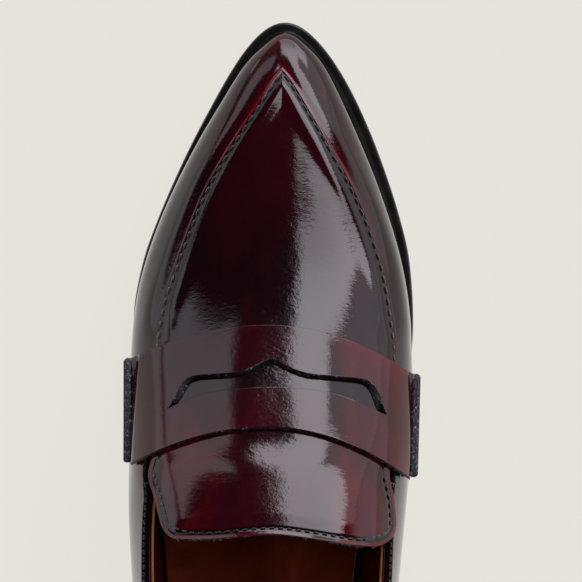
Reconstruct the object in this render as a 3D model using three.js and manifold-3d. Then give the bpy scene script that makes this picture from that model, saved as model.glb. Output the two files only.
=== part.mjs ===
import * as THREE from "three";
import { mergeVertices } from "three/addons/utils/BufferGeometryUtils.js";
import Module from "manifold-3d";

// A left penny loafer with a pointed toe, in millimetres.
// +Z is up, the toe points along +Y and the inner (medial) side of the foot is +X.
// The origin is on the ground, under the middle of the shoe's length and width.
// The leather pieces are sheets at named heights above or below one foot form.

// Overall sizes.
const SHOE_LENGTH = 280;
const FORM_WIDTH = 88.3;
const HEEL_HEIGHT = 18;
const TOE_SPRING = 7.5;
const CLEARANCE = 0.3;
const LAYER_GAP = 0.5;

// The size that the form's tables are drawn for; the tables are graded to the sizes above.
const PATTERN_LENGTH = 280;
const PATTERN_WIDTH = 88.3;
const PATTERN_HEEL_HEIGHT = 18;

// Sheet thicknesses.
const UPPER_LEATHER = 1.2;
const STIFFENER = 0.8;
const LINING = 0.8;
const PLUG_LEATHER = 1.2;
const STRAP_LEATHER = 1.6;
const BACK_STRIP_LEATHER = 1;
const BINDING_RISE = 1.2;

// Bottom pieces.
const OUTSOLE_THICKNESS = 3.6;
const WELT_THICKNESS = 2.2;
const WELT_WIDTH = 9;
const BOARD_THICKNESS = 1.8;
const SOCK_THICKNESS = 1;
const HEEL_PAD_THICKNESS = 2.4;
const HEEL_PAD_MARGIN = 3;
const TOP_PIECE_THICKNESS = 5;
const HEEL_BREAST_Y = -72;
const HEEL_TAPER = 2.2;
const HEEL_SEAT_MARGIN = 1;
const SHANK_FRONT_Y = -4;
const SHANK_REAR_Y = -104;
const SHANK_WIDTH = 13;
const SHANK_THICKNESS = 1.4;
const NAIL_DIAMETER = 2.2;
const NAIL_HEAD_DIAMETER = 5;
const NAIL_HEAD_THICKNESS = 0.9;
const NAIL_LENGTH = 20;
const NAIL_RING_RADIUS = 14;
const NAIL_RING_Y = -108;
const NAIL_RING_X = -3;
const NAIL_COUNT = 5;
const NAIL_RING_ARC = 1.5 * Math.PI;

// Saddle strap: its edges are parabolas in plan, which fall back towards the side seams.
const STRAP_MIDDLE_X = -1;
const STRAP_FRONT_Y = 45.8;
const STRAP_REAR_Y = 14.4;
const STRAP_HALF_SPAN = 44;
const FRONT_FALL = { lateral: 11.6, medial: 13 };
const REAR_FALL = { lateral: 13.4, medial: 15.6 };
const SEAM_FRONT = { y: 34, z: 39.5 };
const SEAM_REAR = { y: 0, z: 48.5 };
const SEAM_FLANGE = 2.3;
const SEAM_FLANGE_THICKNESS = 1.1;
// How far the tab's top edge is cut down, for each mm of its leather, to stay under the seam.
const SEAM_SKIVE = 0.375;
// Where in its thickness a flange grows out of its leather.
const FLANGE_ROOT = 0.4;

// Penny slot, drawn in plan about its own middle.
const SLOT_X = 1.9;
const SLOT_Y = 26.9;
const SLOT_TURN = -0.022;
const SLOT_HALF_LENGTH = 33.5;
const SLOT_TIP_DROP = 7.7;
const SLOT_SHOULDER_X = 27.6;
const SLOT_SHOULDER_RISE = 2.9;
const SLOT_FRONT_RISE = 4.4;
const SLOT_NOTCH_HALF = 9.5;
const SLOT_NOTCH_RISE = 8.6;
const SLOT_SIDE_X = 20;
const SLOT_SIDE_DROP = 2.3;

// Plug (apron), tongue and linings.
const PLUG_APEX_Y = 126;
const PLUG_REAR_Y = 16;
const PLUG_MARGIN = 5;
const PLUG_APEX_MARGIN = 15;
const OVERCUT = 2;
const THROAT_Y = 0;
const TONGUE_END_Y = -19;
const TONGUE_END_SAG = 2.6;
const TONGUE_CORNER = 5;
const TONGUE_LATERAL_X = { front: -38, end: -33.4 };
const TONGUE_MEDIAL_X = { front: 36.6, end: 38.2 };
const TONGUE_LINING_INSET = 1.2;
const TONGUE_ROOT_INSET = 2.4;
const VAMP_REAR_Y = 16;
const TOE_PUFF_REAR_Y = 108;
const COUNTER_FRONT_Y = -78;
const COUNTER_TOP_Z = 56;
const BACK_STRIP_HALF_WIDTH = 11;
const BACK_STRIP_BOTTOM_Z = 42;
const BACK_SEAM_TURN = 0.0018;
const BINDING_FRONT_Y = -2.5;
const VAMP_LINING_REAR_Y = 3;

// Foot form in plan: [y, lateral x, medial x], toe to heel.
const FORM_PLAN = [
  [136.6, 4.5, 4.5],
  [134, -0.9, 9.7],
  [127.9, -7.4, 15.7],
  [115.5, -15.4, 22.4],
  [103.1, -22.7, 27.9],
  [90.7, -29.1, 32.9],
  [78.3, -34.6, 37.1],
  [65.9, -39, 40.5],
  [53.5, -42, 42.6],
  [38, -43.6, 43.8],
  [16, -44.1, 44.3],
  [-8.5, -44.3, 42.2],
  [-33, -43.2, 39.8],
  [-60, -41.2, 36.6],
  [-90, -38, 32.4],
  [-115, -33.4, 27.6],
  [-130, -24, 18.2],
  [-138.8, -3, -3],
];
// How far the form is drawn in under its widest line: [y, lateral, medial].
const FORM_TUCK = [
  [136.6, 0, 0],
  [115.5, 0.5, 0.5],
  [65.9, 1.6, 1.6],
  [38, 3.2, 3.4],
  [0, 5, 7.5],
  [-33, 6.8, 9.4],
  [-75, 5.4, 6.4],
  [-115, 3, 3],
  [-138.8, 0, 0],
];
// Form heights: [y, ridge, widest line above the feather line, squareness of the section].
const FORM_HEIGHT = [
  [136.6, 16, 1.5, 2.1],
  [133, 21, 2, 2.2],
  [115.5, 29, 4, 2.4],
  [90.7, 35.2, 7, 2.5],
  [65.9, 41.2, 10, 2.6],
  [45, 49.5, 12, 2.75],
  [16, 64.3, 14, 3],
  [0, 71.8, 15, 3.2],
  [-20, 78.5, 17, 3.1],
  [-60, 92, 18, 3],
  [-100, 104, 17, 3],
  [-138.8, 110, 16, 3],
];
// Outsole in plan: [y, lateral x, medial x].
const SOLE_PLAN = [
  [140, 4.4, 4.4],
  [136.5, -3.4, 12.1],
  [127.9, -10.5, 19.5],
  [115.5, -17.8, 26.6],
  [96.9, -27.4, 34.4],
  [78.3, -35.5, 40.4],
  [65.9, -39.9, 43.2],
  [47.3, -43, 44.4],
  [20, -42.6, 42],
  [-8, -40.2, 35.6],
  [-38, -37.6, 31],
  [-72, -36, 28.6],
  [-104, -34.8, 27.8],
  [-124, -27.4, 21],
  [-137, -3, -3],
];
// Underside of the outsole: [y, share of the toe spring, share of the heel height].
const SOLE_RISE = [
  [140, 1, 0],
  [115, 0.5, 0],
  [92, 0.14, 0],
  [72, 0, 0],
  [26, 0, 0],
  [4, 0, 0.12],
  [-22, 0, 0.43],
  [-48, 0, 0.76],
  [-72, 0, 0.95],
  [-138.8, 0, 1],
];
// Height of the topline, back from the strap: [y, z].
const TOPLINE = [
  [16, 55],
  [-5, 56.3],
  [-35, 57.5],
  [-65, 58],
  [-95, 62],
  [-120, 70],
  [-138.8, 77],
];
// The heel's back is drawn forward above and below its fullest height, which is this far over the heel.
const HEEL_FULLEST_RISE = 22;
const HEEL_LEAN = 0.0042;
const HEEL_LEAN_START_Y = -60;
// Outline of the plug: [y, lateral x, medial x].
const PLUG_PLAN = [
  [126, 3.4, 3.4],
  [123.5, 1.2, 5.7],
  [113, -5.7, 12.3],
  [98, -15.4, 20.9],
  [87, -21.4, 26.7],
  [74.8, -26.4, 31.8],
  [62.6, -30.8, 35.6],
  [50.4, -34.7, 37.8],
  [36, -36.6, 39.2],
  [16, -37.6, 38.6],
];

// Grading from the pattern, and the grids' sizes, which grow finer with a bigger shoe.
const lengthGrade = SHOE_LENGTH / PATTERN_LENGTH;
const widthGrade = FORM_WIDTH / PATTERN_WIDTH;
const finer = (count) => Math.ceil(count * Math.max(1, lengthGrade, widthGrade));
const FORM_ROWS = finer(17);
const WALL_COLUMNS = finer(6);
const ACROSS_COLUMNS = 2 * finer(6);
const ALONG_ROWS = finer(15);
const COUNTER_ROWS = finer(14);
const PUFF_ROWS = finer(8);
const STRAP_ROWS = 6;
const PLATE_ROWS = 30;
const HEEL_ROWS = 16;
const HEEL_PAD_ROWS = 12;
const BACK_STRIP_ROWS = 8;
const BINDING_ROWS = 32;
const TONGUE_ROOT_ROWS = 4;
const TONGUE_ROWS = 7;
const NAIL_SIDES = 8;
const OPENING_STEPS = 14;
// The plug's rows gather towards its apex by this power.
const PLUG_ROW_GATHER = 1.3;
// Rounds that place a point of the strap both on its own edges and on the form.
const FIT_ROUNDS = 6;
// The share of the strap's side, up from its seam, over which it rises onto the plug.
const STRAP_SHOULDER = 0.62;

const wasm = await Module();
wasm.setup();

// A smooth curve through rows of values that never overshoots between two rows.
function curveThrough(places, values) {
  const steps = places.slice(1).map((place, i) => place - places[i]);
  const slopes = steps.map((step, i) => (values[i + 1] - values[i]) / step);
  const tangents = places.map((_, i) => {
    if (i === 0) return slopes[0];
    if (i === slopes.length) return slopes[i - 1];
    const before = slopes[i - 1];
    const after = slopes[i];
    if (before * after <= 0) return 0;
    const w1 = 2 * steps[i] + steps[i - 1];
    const w2 = steps[i] + 2 * steps[i - 1];
    return (w1 + w2) / (w1 / before + w2 / after);
  });
  return (place) => {
    const x = Math.min(Math.max(place, places[0]), places[places.length - 1]);
    let i = 0;
    while (i < steps.length - 1 && x > places[i + 1]) i++;
    const t = (x - places[i]) / steps[i];
    const rise = values[i + 1] - values[i];
    const a = tangents[i] * steps[i];
    const b = tangents[i + 1] * steps[i];
    return values[i] + t * (a + t * (3 * rise - 2 * a - b + t * (a + b - 2 * rise)));
  };
}

// A table's column as a function of y. Round-ended curves are drawn over the turn, the angle of y
// on a circle over the whole length, which makes both ends of an outline round.
const toeEnd = (table) => table[0][0] * lengthGrade;
const heelEnd = (table) => table[table.length - 1][0] * lengthGrade;
function turnOf(y, toe, heel) {
  const share = (2 * y - toe - heel) / (toe - heel);
  return Math.acos(Math.min(Math.max(share, -1), 1)) / Math.PI;
}
function column(table, index, grade, roundEnded) {
  const toe = toeEnd(table);
  const heel = heelEnd(table);
  const place = (y) => (roundEnded ? turnOf(y, toe, heel) : -y);
  const curve = curveThrough(
    table.map((row) => place(row[0] * lengthGrade)),
    table.map((row) => row[index] * grade),
  );
  return (y) => curve(place(y));
}

const formX = { "-1": column(FORM_PLAN, 1, widthGrade, true), 1: column(FORM_PLAN, 2, widthGrade, true) };
const tuck = { "-1": column(FORM_TUCK, 1, widthGrade, false), 1: column(FORM_TUCK, 2, widthGrade, false) };
const soleX = { "-1": column(SOLE_PLAN, 1, widthGrade, true), 1: column(SOLE_PLAN, 2, widthGrade, true) };
const plugX = { "-1": column(PLUG_PLAN, 1, widthGrade, false), 1: column(PLUG_PLAN, 2, widthGrade, false) };
const ridgeTable = column(FORM_HEIGHT, 1, 1, true);
const widestRise = column(FORM_HEIGHT, 2, 1, false);
const squareness = column(FORM_HEIGHT, 3, 1, false);
const springShare = column(SOLE_RISE, 1, 1, false);
const heelShare = column(SOLE_RISE, 2, 1, false);
const toplineTable = column(TOPLINE, 1, 1, false);
const centreX = (y) => (formX[-1](y) + formX[1](y)) / 2;

// Heights of the bottom's levels at y.
const soleUnder = (y) => TOE_SPRING * springShare(y) + HEEL_HEIGHT * heelShare(y);
const weltUnder = (y) => soleUnder(y) + OUTSOLE_THICKNESS + CLEARANCE;
const featherZ = (y) => weltUnder(y) + WELT_THICKNESS + CLEARANCE;
const boardTop = (y) => featherZ(y) + BOARD_THICKNESS;
const sockTop = (y) => boardTop(y) + CLEARANCE + SOCK_THICKNESS;
const heelLift = (y) => (HEEL_HEIGHT - PATTERN_HEEL_HEIGHT) * heelShare(y);
const ridgeZ = (y) => ridgeTable(y) + heelLift(y);
const toplineZ = (y) => toplineTable(y) + heelLift(y);

// The foot form. Turn 0 is the toe's tip and 1 the heel's back; climb -1 is the feather line,
// 0 the widest line and 1 the ridge. Beyond those ends the form goes on, on its other side.
const TOE_Y = toeEnd(FORM_PLAN);
const HEEL_Y = heelEnd(FORM_PLAN);
const turnAt = (y) => turnOf(y, TOE_Y, HEEL_Y);
const yAt = (turn) => (TOE_Y + HEEL_Y + (TOE_Y - HEEL_Y) * Math.cos(Math.PI * turn)) / 2;
function formPoint(turn, side, climb) {
  if (turn < 0) return formPoint(-turn, -side, climb);
  if (turn > 1) return formPoint(2 - turn, -side, climb);
  if (climb > 1) return formPoint(turn, -side, 2 - climb);
  const y = yAt(turn);
  const middle = centreX(y);
  const wide = formX[side](y);
  const feather = featherZ(y);
  const widest = feather + widestRise(y);
  let x;
  let z;
  if (climb < 0) {
    x = wide - side * tuck[side](y) * climb * climb;
    z = widest + (widest - feather) * climb;
  } else {
    const power = 2 / squareness(y);
    const angle = (climb * Math.PI) / 2;
    x = middle + (wide - middle) * Math.max(Math.cos(angle), 0) ** power;
    z = widest + (ridgeZ(y) - widest) * Math.sin(angle) ** power;
  }
  const behind = Math.max(0, (HEEL_LEAN_START_Y - y) / (HEEL_LEAN_START_Y - HEEL_Y));
  const lean = HEEL_LEAN * behind * behind * (z - HEEL_HEIGHT - HEEL_FULLEST_RISE) ** 2;
  return new THREE.Vector3(x, y + lean, z);
}
const PROBE = 0.002;
function liftedPoint(turn, side, climb, lift) {
  const point = formPoint(turn, side, climb);
  const alongTurn = formPoint(turn + PROBE, side, climb).sub(formPoint(turn - PROBE, side, climb));
  const low = Math.max(climb - PROBE, -1);
  const alongClimb = formPoint(turn, side, climb + PROBE).sub(formPoint(turn, side, low));
  const normal = alongClimb.cross(alongTurn).multiplyScalar(side).normalize();
  const lifted = point.clone().addScaledVector(normal, lift);
  if (climb <= -1) lifted.z = point.z;
  return lifted;
}
// The climb at which the form passes through a height, or through an x on its upper side.
function climbAtHeight(y, z) {
  const widest = featherZ(y) + widestRise(y);
  if (z < widest) return (z - widest) / widestRise(y);
  const share = Math.min((z - widest) / (ridgeZ(y) - widest), 1);
  return (Math.asin(share ** (squareness(y) / 2)) * 2) / Math.PI;
}
function pointAbove(x, y, lift) {
  const middle = centreX(y);
  const side = x < middle ? -1 : 1;
  const share = Math.min((x - middle) / (formX[side](y) - middle), 1);
  const climb = (Math.acos(share ** (squareness(y) / 2)) * 2) / Math.PI;
  return liftedPoint(turnAt(y), side, climb, lift);
}

// A closed mesh from triangles of points, with shared corners merged and empty triangles dropped.
function closedGeometry(triangles) {
  const loose = new THREE.BufferGeometry().setFromPoints(triangles.flat());
  const merged = mergeVertices(loose, 1e-4);
  const index = merged.index.array;
  const kept = [];
  for (let i = 0; i < index.length; i += 3) {
    const [a, b, c] = [index[i], index[i + 1], index[i + 2]];
    if (a !== b && b !== c && c !== a) kept.push(a, b, c);
  }
  merged.setIndex(kept);
  return merged;
}
function quad(triangles, a, b, c, d) {
  triangles.push([a, b, c], [a, c, d]);
}
// A sheet between an outer and an inner surface over a grid. Borders named in open are left out:
// those where the sheet meets itself or comes to a point.
function sheet(rows, columns, outer, inner, open = []) {
  const grid = (surface) =>
    Array.from({ length: rows + 1 }, (_, i) =>
      Array.from({ length: columns + 1 }, (_, j) => surface(i / rows, j / columns)),
    );
  const top = grid(outer);
  const under = grid(inner);
  const triangles = [];
  for (let i = 0; i < rows; i++)
    for (let j = 0; j < columns; j++) {
      quad(triangles, top[i][j], top[i][j + 1], top[i + 1][j + 1], top[i + 1][j]);
      quad(triangles, under[i][j], under[i + 1][j], under[i + 1][j + 1], under[i][j + 1]);
    }
  for (let j = 0; j < columns; j++) {
    if (!open.includes("start")) quad(triangles, top[0][j + 1], top[0][j], under[0][j], under[0][j + 1]);
    if (!open.includes("end"))
      quad(triangles, top[rows][j], top[rows][j + 1], under[rows][j + 1], under[rows][j]);
  }
  for (let i = 0; i < rows; i++) {
    if (!open.includes("left")) quad(triangles, top[i][0], top[i + 1][0], under[i + 1][0], under[i][0]);
    if (!open.includes("right"))
      quad(triangles, top[i + 1][columns], top[i][columns], under[i][columns], under[i + 1][columns]);
  }
  return faceOutwards(closedGeometry(triangles));
}
// Solids for joining and cutting.
function solidOf(geometry) {
  const bare = geometry.clone();
  bare.deleteAttribute("normal");
  bare.deleteAttribute("uv");
  const merged = mergeVertices(bare, 1e-4);
  return new wasm.Manifold(
    new wasm.Mesh({
      numProp: 3,
      vertProperties: merged.attributes.position.array,
      triVerts: new Uint32Array(merged.index.array),
    }),
  );
}
function geometryOf(solid) {
  const mesh = solid.getMesh();
  const geometry = new THREE.BufferGeometry();
  geometry.setAttribute("position", new THREE.BufferAttribute(new Float32Array(mesh.vertProperties), 3));
  geometry.setIndex(Array.from(mesh.triVerts));
  return geometry;
}
function faceOutwards(geometry) {
  if (solidOf(geometry).volume() >= 0) return geometry;
  const index = geometry.index.array;
  for (let i = 0; i < index.length; i += 3) [index[i + 1], index[i + 2]] = [index[i + 2], index[i + 1]];
  return geometry;
}
const cut = (geometry, ...tools) =>
  geometryOf(tools.reduce((solid, tool) => solid.subtract(solidOf(tool)), solidOf(geometry)));
const join = (geometry, ...others) =>
  geometryOf(others.reduce((solid, other) => solid.add(solidOf(other)), solidOf(geometry)));

const mix = (a, b, t) => a + (b - a) * t;

// A level plate whose plan lies between two outlines and whose heights follow the shoe's length.
function plate(toeY, heelY, left, right, low, high, rows) {
  const yOf = (i) => mix((toeY + heelY) / 2, toeY, Math.cos(Math.PI * i));
  const at = (height) => (i, j) => {
    const y = yOf(i);
    return new THREE.Vector3(mix(left(y), right(y), j), y, height(y));
  };
  const open = [];
  if (Math.abs(left(toeY) - right(toeY)) < 1e-6) open.push("start");
  if (Math.abs(left(heelY) - right(heelY)) < 1e-6) open.push("end");
  return sheet(rows, 1, at(high), at(low), open);
}

// An outline drawn inwards by a margin, with both of its ends still round.
function drawnIn(outline, margin) {
  const toe = outline.toe - margin;
  const heel = outline.heel + margin;
  const edge = (xOf) => (place) => {
    const turn = turnOf(place, toe, heel);
    const y = mix((outline.toe + outline.heel) / 2, outline.toe, Math.cos(Math.PI * turn));
    const middle = (outline.left(y) + outline.right(y)) / 2;
    const half = Math.abs(xOf(y) - middle);
    const kept = half > 2 * margin ? half - margin : (half * half) / (4 * margin || 1);
    return middle + Math.sign(xOf(y) - middle) * kept;
  };
  return { toe, heel, left: edge(outline.left), right: edge(outline.right) };
}
const soleOutline = { toe: toeEnd(SOLE_PLAN), heel: heelEnd(SOLE_PLAN), left: soleX[-1], right: soleX[1] };
const featherOutline = {
  toe: TOE_Y,
  heel: HEEL_Y,
  left: (y) => formX[-1](y) + tuck[-1](y),
  right: (y) => formX[1](y) - tuck[1](y),
};
const WALL_DEPTH = UPPER_LEATHER + STIFFENER + LINING + 2 * LAYER_GAP;
const insideOutline = drawnIn(featherOutline, WALL_DEPTH + 3 * CLEARANCE);
const plateIn = (outline, low, high, rows) =>
  plate(outline.toe, outline.heel, outline.left, outline.right, low, high, rows);

// Bottom pieces.
const nailPlaces = Array.from({ length: NAIL_COUNT }, (_, i) => {
  const angle = -Math.PI / 2 + ((i - (NAIL_COUNT - 1) / 2) * NAIL_RING_ARC) / NAIL_COUNT;
  const across = NAIL_RING_RADIUS * Math.cos(angle);
  const along = NAIL_RING_RADIUS * Math.sin(angle);
  return [NAIL_RING_X + across, NAIL_RING_Y + along];
});
function nail([x, y], room) {
  const head = boardTop(y);
  const length = NAIL_LENGTH + heelLift(y);
  const radius = NAIL_DIAMETER / 2 + room;
  const shaft = new THREE.CylinderGeometry(radius, radius, length, NAIL_SIDES);
  const cap = new THREE.CylinderGeometry(
    NAIL_HEAD_DIAMETER / 2 + room,
    NAIL_HEAD_DIAMETER / 2 + room,
    NAIL_HEAD_THICKNESS + room,
    NAIL_SIDES,
  );
  shaft.rotateX(Math.PI / 2).translate(x, y, head - length / 2);
  cap.rotateX(Math.PI / 2).translate(x, y, head - (NAIL_HEAD_THICKNESS + room) / 2 + room);
  return join(shaft, cap);
}
const nailHoles = () => nailPlaces.map((place) => nail(place, CLEARANCE));
const outsole = () =>
  cut(plateIn(soleOutline, soleUnder, (y) => soleUnder(y) + OUTSOLE_THICKNESS, PLATE_ROWS), ...nailHoles());
const weltHole = () => drawnIn(soleOutline, WELT_WIDTH);
function welt() {
  const hole = weltHole();
  const low = (y) => weltUnder(y) - OVERCUT;
  const high = (y) => weltUnder(y) + WELT_THICKNESS + OVERCUT;
  const tool = plateIn(hole, low, high, PLATE_ROWS);
  const body = plateIn(soleOutline, weltUnder, (y) => weltUnder(y) + WELT_THICKNESS, PLATE_ROWS);
  return cut(body, tool);
}
function shankPlate(room) {
  const half = SHANK_WIDTH / 2 + room;
  const middle = (y) => (soleX[-1](y) + soleX[1](y)) / 2;
  return plate(
    SHANK_FRONT_Y + room,
    SHANK_REAR_Y - room,
    (y) => middle(y) - half,
    (y) => middle(y) + half,
    (y) => weltUnder(y) + CLEARANCE / 2 - 4 * room,
    (y) => weltUnder(y) + CLEARANCE / 2 + SHANK_THICKNESS + 4 * room,
    PLATE_ROWS,
  );
}
function bottomFiller() {
  const outline = drawnIn(soleOutline, WELT_WIDTH + CLEARANCE);
  const body = plateIn(outline, weltUnder, (y) => weltUnder(y) + WELT_THICKNESS, PLATE_ROWS);
  return cut(body, shankPlate(CLEARANCE), ...nailHoles());
}
const insoleBoard = () => cut(plateIn(insideOutline, featherZ, boardTop, PLATE_ROWS), ...nailHoles());
const sockLining = () => plateIn(insideOutline, (y) => boardTop(y) + CLEARANCE, sockTop, PLATE_ROWS);
function heelPad() {
  const outline = drawnIn(insideOutline, HEEL_PAD_MARGIN);
  const under = (y) => sockTop(y) + CLEARANCE;
  return plate(
    HEEL_BREAST_Y,
    outline.heel,
    outline.left,
    outline.right,
    under,
    (y) => under(y) + HEEL_PAD_THICKNESS,
    HEEL_PAD_ROWS,
  );
}
// The heel tapers towards the ground, so its plan at a height is the seat's plan drawn in.
const heelSeat = drawnIn(soleOutline, HEEL_SEAT_MARGIN);
const heelFoot = drawnIn(soleOutline, HEEL_SEAT_MARGIN + HEEL_TAPER);
function heelSlice(outline, breast, lowOrHigh) {
  return (i, j) => {
    const y = mix((breast + outline.heel) / 2, breast, Math.cos(Math.PI * i));
    return new THREE.Vector3(mix(outline.left(y), outline.right(y), j), y, lowOrHigh(y));
  };
}
function heelBlock() {
  const top = heelSlice(heelSeat, HEEL_BREAST_Y, (y) => soleUnder(y) - CLEARANCE);
  const foot = heelSlice(heelFoot, HEEL_BREAST_Y - HEEL_TAPER, () => TOP_PIECE_THICKNESS + CLEARANCE);
  return cut(sheet(HEEL_ROWS, 1, top, foot, ["end"]), ...nailHoles());
}
function heelTopPiece() {
  const top = heelSlice(heelFoot, HEEL_BREAST_Y - HEEL_TAPER, () => TOP_PIECE_THICKNESS);
  const foot = heelSlice(heelFoot, HEEL_BREAST_Y - HEEL_TAPER, () => 0);
  return sheet(HEEL_ROWS, 1, top, foot, ["end"]);
}

// Upper pieces. A share across the form runs from one feather line over the ridge to the other.
const BELOW_WIDEST = 0.25;
const climbOfShare = (share, top) =>
  share < BELOW_WIDEST ? share / BELOW_WIDEST - 1 : (top * (share - BELOW_WIDEST)) / (1 - BELOW_WIDEST);
function arch(toTurn, rows, outerLift, innerLift) {
  const surface = (lift) => (i, j) => {
    const across = 2 * j - 1;
    const side = across < 0 ? -1 : 1;
    return liftedPoint(i * toTurn, side, climbOfShare(1 - Math.abs(across), 1), lift);
  };
  return sheet(rows, 2 * WALL_COLUMNS + 2, surface(outerLift), surface(innerLift), ["start"]);
}
function wall(fromTurn, toTurn, side, rows, lowClimb, highClimb, outerLift, innerLift) {
  const surface = (lift) => (i, j) => {
    const turn = mix(fromTurn, toTurn, i);
    const y = yAt(turn > 1 ? 2 - turn : turn);
    const low = lowClimb(y);
    const high = highClimb(y);
    const climb = low <= -1 ? climbOfShare(j, high) : mix(low, high, j);
    return liftedPoint(turn, side, climb, lift);
  };
  return sheet(rows, WALL_COLUMNS + 1, surface(outerLift), surface(innerLift));
}
const feather = () => -1;
const toplineClimb = (y) => climbAtHeight(y, toplineZ(y));

function planPrism(points, low, high) {
  const shape = new THREE.Shape(points.map(([x, y]) => new THREE.Vector2(x, y)));
  const prism = new THREE.ExtrudeGeometry(shape, { depth: high - low, bevelEnabled: false });
  return prism.translate(0, 0, low);
}
function plugOpening() {
  const apexY = (PLUG_APEX_Y - PLUG_APEX_MARGIN) * lengthGrade;
  const rearY = VAMP_REAR_Y - OVERCUT;
  const along = Array.from({ length: OPENING_STEPS + 1 }, (_, i) => mix(rearY, apexY, i / OPENING_STEPS));
  const lateral = along.map((y) => [plugX[-1](y) + PLUG_MARGIN, y]);
  const medial = along.map((y) => [plugX[1](y) - PLUG_MARGIN, y]).reverse();
  return planPrism([...lateral, ...medial], 0, ridgeZ(HEEL_Y));
}
const VAMP_REAR_TURN = turnAt(VAMP_REAR_Y);
const vamp = () => cut(arch(VAMP_REAR_TURN, FORM_ROWS, 0, -UPPER_LEATHER), plugOpening());
const PUFF_LIFT = -UPPER_LEATHER - LAYER_GAP;
const LINING_LIFT = PUFF_LIFT - STIFFENER - LAYER_GAP;
const toePuff = () => arch(turnAt(TOE_PUFF_REAR_Y), PUFF_ROWS, PUFF_LIFT, PUFF_LIFT - STIFFENER);
const vampLining = () =>
  arch(turnAt(VAMP_LINING_REAR_Y), FORM_ROWS, LINING_LIFT, LINING_LIFT - LINING);
const quarter = (side) =>
  wall(
    turnAt(VAMP_REAR_Y - CLEARANCE),
    1 - BACK_SEAM_TURN,
    side,
    ALONG_ROWS,
    feather,
    toplineClimb,
    0,
    -UPPER_LEATHER,
  );
const quarterLining = (side) =>
  wall(
    turnAt(VAMP_LINING_REAR_Y - CLEARANCE),
    1 - BACK_SEAM_TURN,
    side,
    ALONG_ROWS,
    feather,
    toplineClimb,
    LINING_LIFT,
    LINING_LIFT - LINING,
  );
function heelCounter() {
  const front = turnAt(COUNTER_FRONT_Y);
  const top = (y) => climbAtHeight(y, COUNTER_TOP_Z);
  return wall(front, 2 - front, -1, COUNTER_ROWS, feather, top, PUFF_LIFT, PUFF_LIFT - STIFFENER);
}
function backStrip() {
  let turn = 1;
  while (centreX(yAt(turn)) - formX[-1](yAt(turn)) < BACK_STRIP_HALF_WIDTH) turn -= PROBE;
  const bottom = (y) => climbAtHeight(y, BACK_STRIP_BOTTOM_Z);
  const outer = CLEARANCE + BACK_STRIP_LEATHER;
  return wall(turn, 2 - turn, -1, BACK_STRIP_ROWS, bottom, toplineClimb, outer, CLEARANCE);
}
function toplineBinding() {
  const front = turnAt(BINDING_FRONT_Y);
  const surface = (rise) => (i, j) => {
    const turn = mix(front, 2 - front, i);
    const y = yAt(turn > 1 ? 2 - turn : turn);
    const point = liftedPoint(turn, -1, toplineClimb(y), mix(0, LINING_LIFT - LINING, j));
    point.z = toplineZ(y) + rise;
    return point;
  };
  return sheet(BINDING_ROWS, 1, surface(2 * CLEARANCE + BINDING_RISE), surface(2 * CLEARANCE));
}

const PLUG_TOP = LAYER_GAP + PLUG_LEATHER;
function plug() {
  const apexY = toeEnd(PLUG_PLAN);
  const surface = (lift) => (i, j) => {
    const y = mix(apexY, PLUG_REAR_Y, i ** PLUG_ROW_GATHER);
    return pointAbove(mix(plugX[-1](y), plugX[1](y), j), y, lift);
  };
  return sheet(FORM_ROWS, ACROSS_COLUMNS, surface(PLUG_TOP), surface(LAYER_GAP), ["start"]);
}
function tongueRoot() {
  const surface = (lift) => (i, j) => {
    const y = mix(PLUG_REAR_Y - CLEARANCE, THROAT_Y + CLEARANCE, i);
    const left = plugX[-1](y) + TONGUE_ROOT_INSET;
    const right = plugX[1](y) - TONGUE_ROOT_INSET;
    return pointAbove(mix(left, right, j), y, lift);
  };
  return sheet(TONGUE_ROOT_ROWS, ACROSS_COLUMNS, surface(PLUG_TOP), surface(LAYER_GAP));
}
// The tongue lies on the form, but never lower than just over the topline at its sides.
function tonguePoint(x, y, lift) {
  const point = pointAbove(x, y, lift);
  const rest = toplineZ(y) + 3 * CLEARANCE + BINDING_RISE;
  point.z = Math.max(point.z, rest + LINING + lift);
  return point;
}
function tongueSheet(inset, outerLift, innerLift) {
  const length = THROAT_Y - TONGUE_END_Y - inset;
  const middle = (TONGUE_LATERAL_X.front + TONGUE_MEDIAL_X.front) / 2;
  const half = (TONGUE_MEDIAL_X.front - TONGUE_LATERAL_X.front) / 2;
  const surface = (lift) => (i, j) => {
    const back = length * Math.sin((i * Math.PI) / 2);
    const left = mix(TONGUE_LATERAL_X.front, TONGUE_LATERAL_X.end, back / length) + inset;
    const right = mix(TONGUE_MEDIAL_X.front, TONGUE_MEDIAL_X.end, back / length) - inset;
    const toEnd = Math.min(length - back, TONGUE_CORNER);
    const rounding = TONGUE_CORNER - Math.sqrt(TONGUE_CORNER ** 2 - (TONGUE_CORNER - toEnd) ** 2);
    const x = mix(left + rounding, right - rounding, j);
    const sag = TONGUE_END_SAG * ((x - middle) / half) ** 2 * (back / length);
    return tonguePoint(x * widthGrade, THROAT_Y - back - sag, lift);
  };
  return sheet(TONGUE_ROWS, ACROSS_COLUMNS, surface(outerLift), surface(innerLift));
}
const tongue = () => tongueSheet(0, PLUG_TOP, LAYER_GAP);
const tongueLining = () => tongueSheet(TONGUE_LINING_INSET, 0, -LINING);

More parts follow.
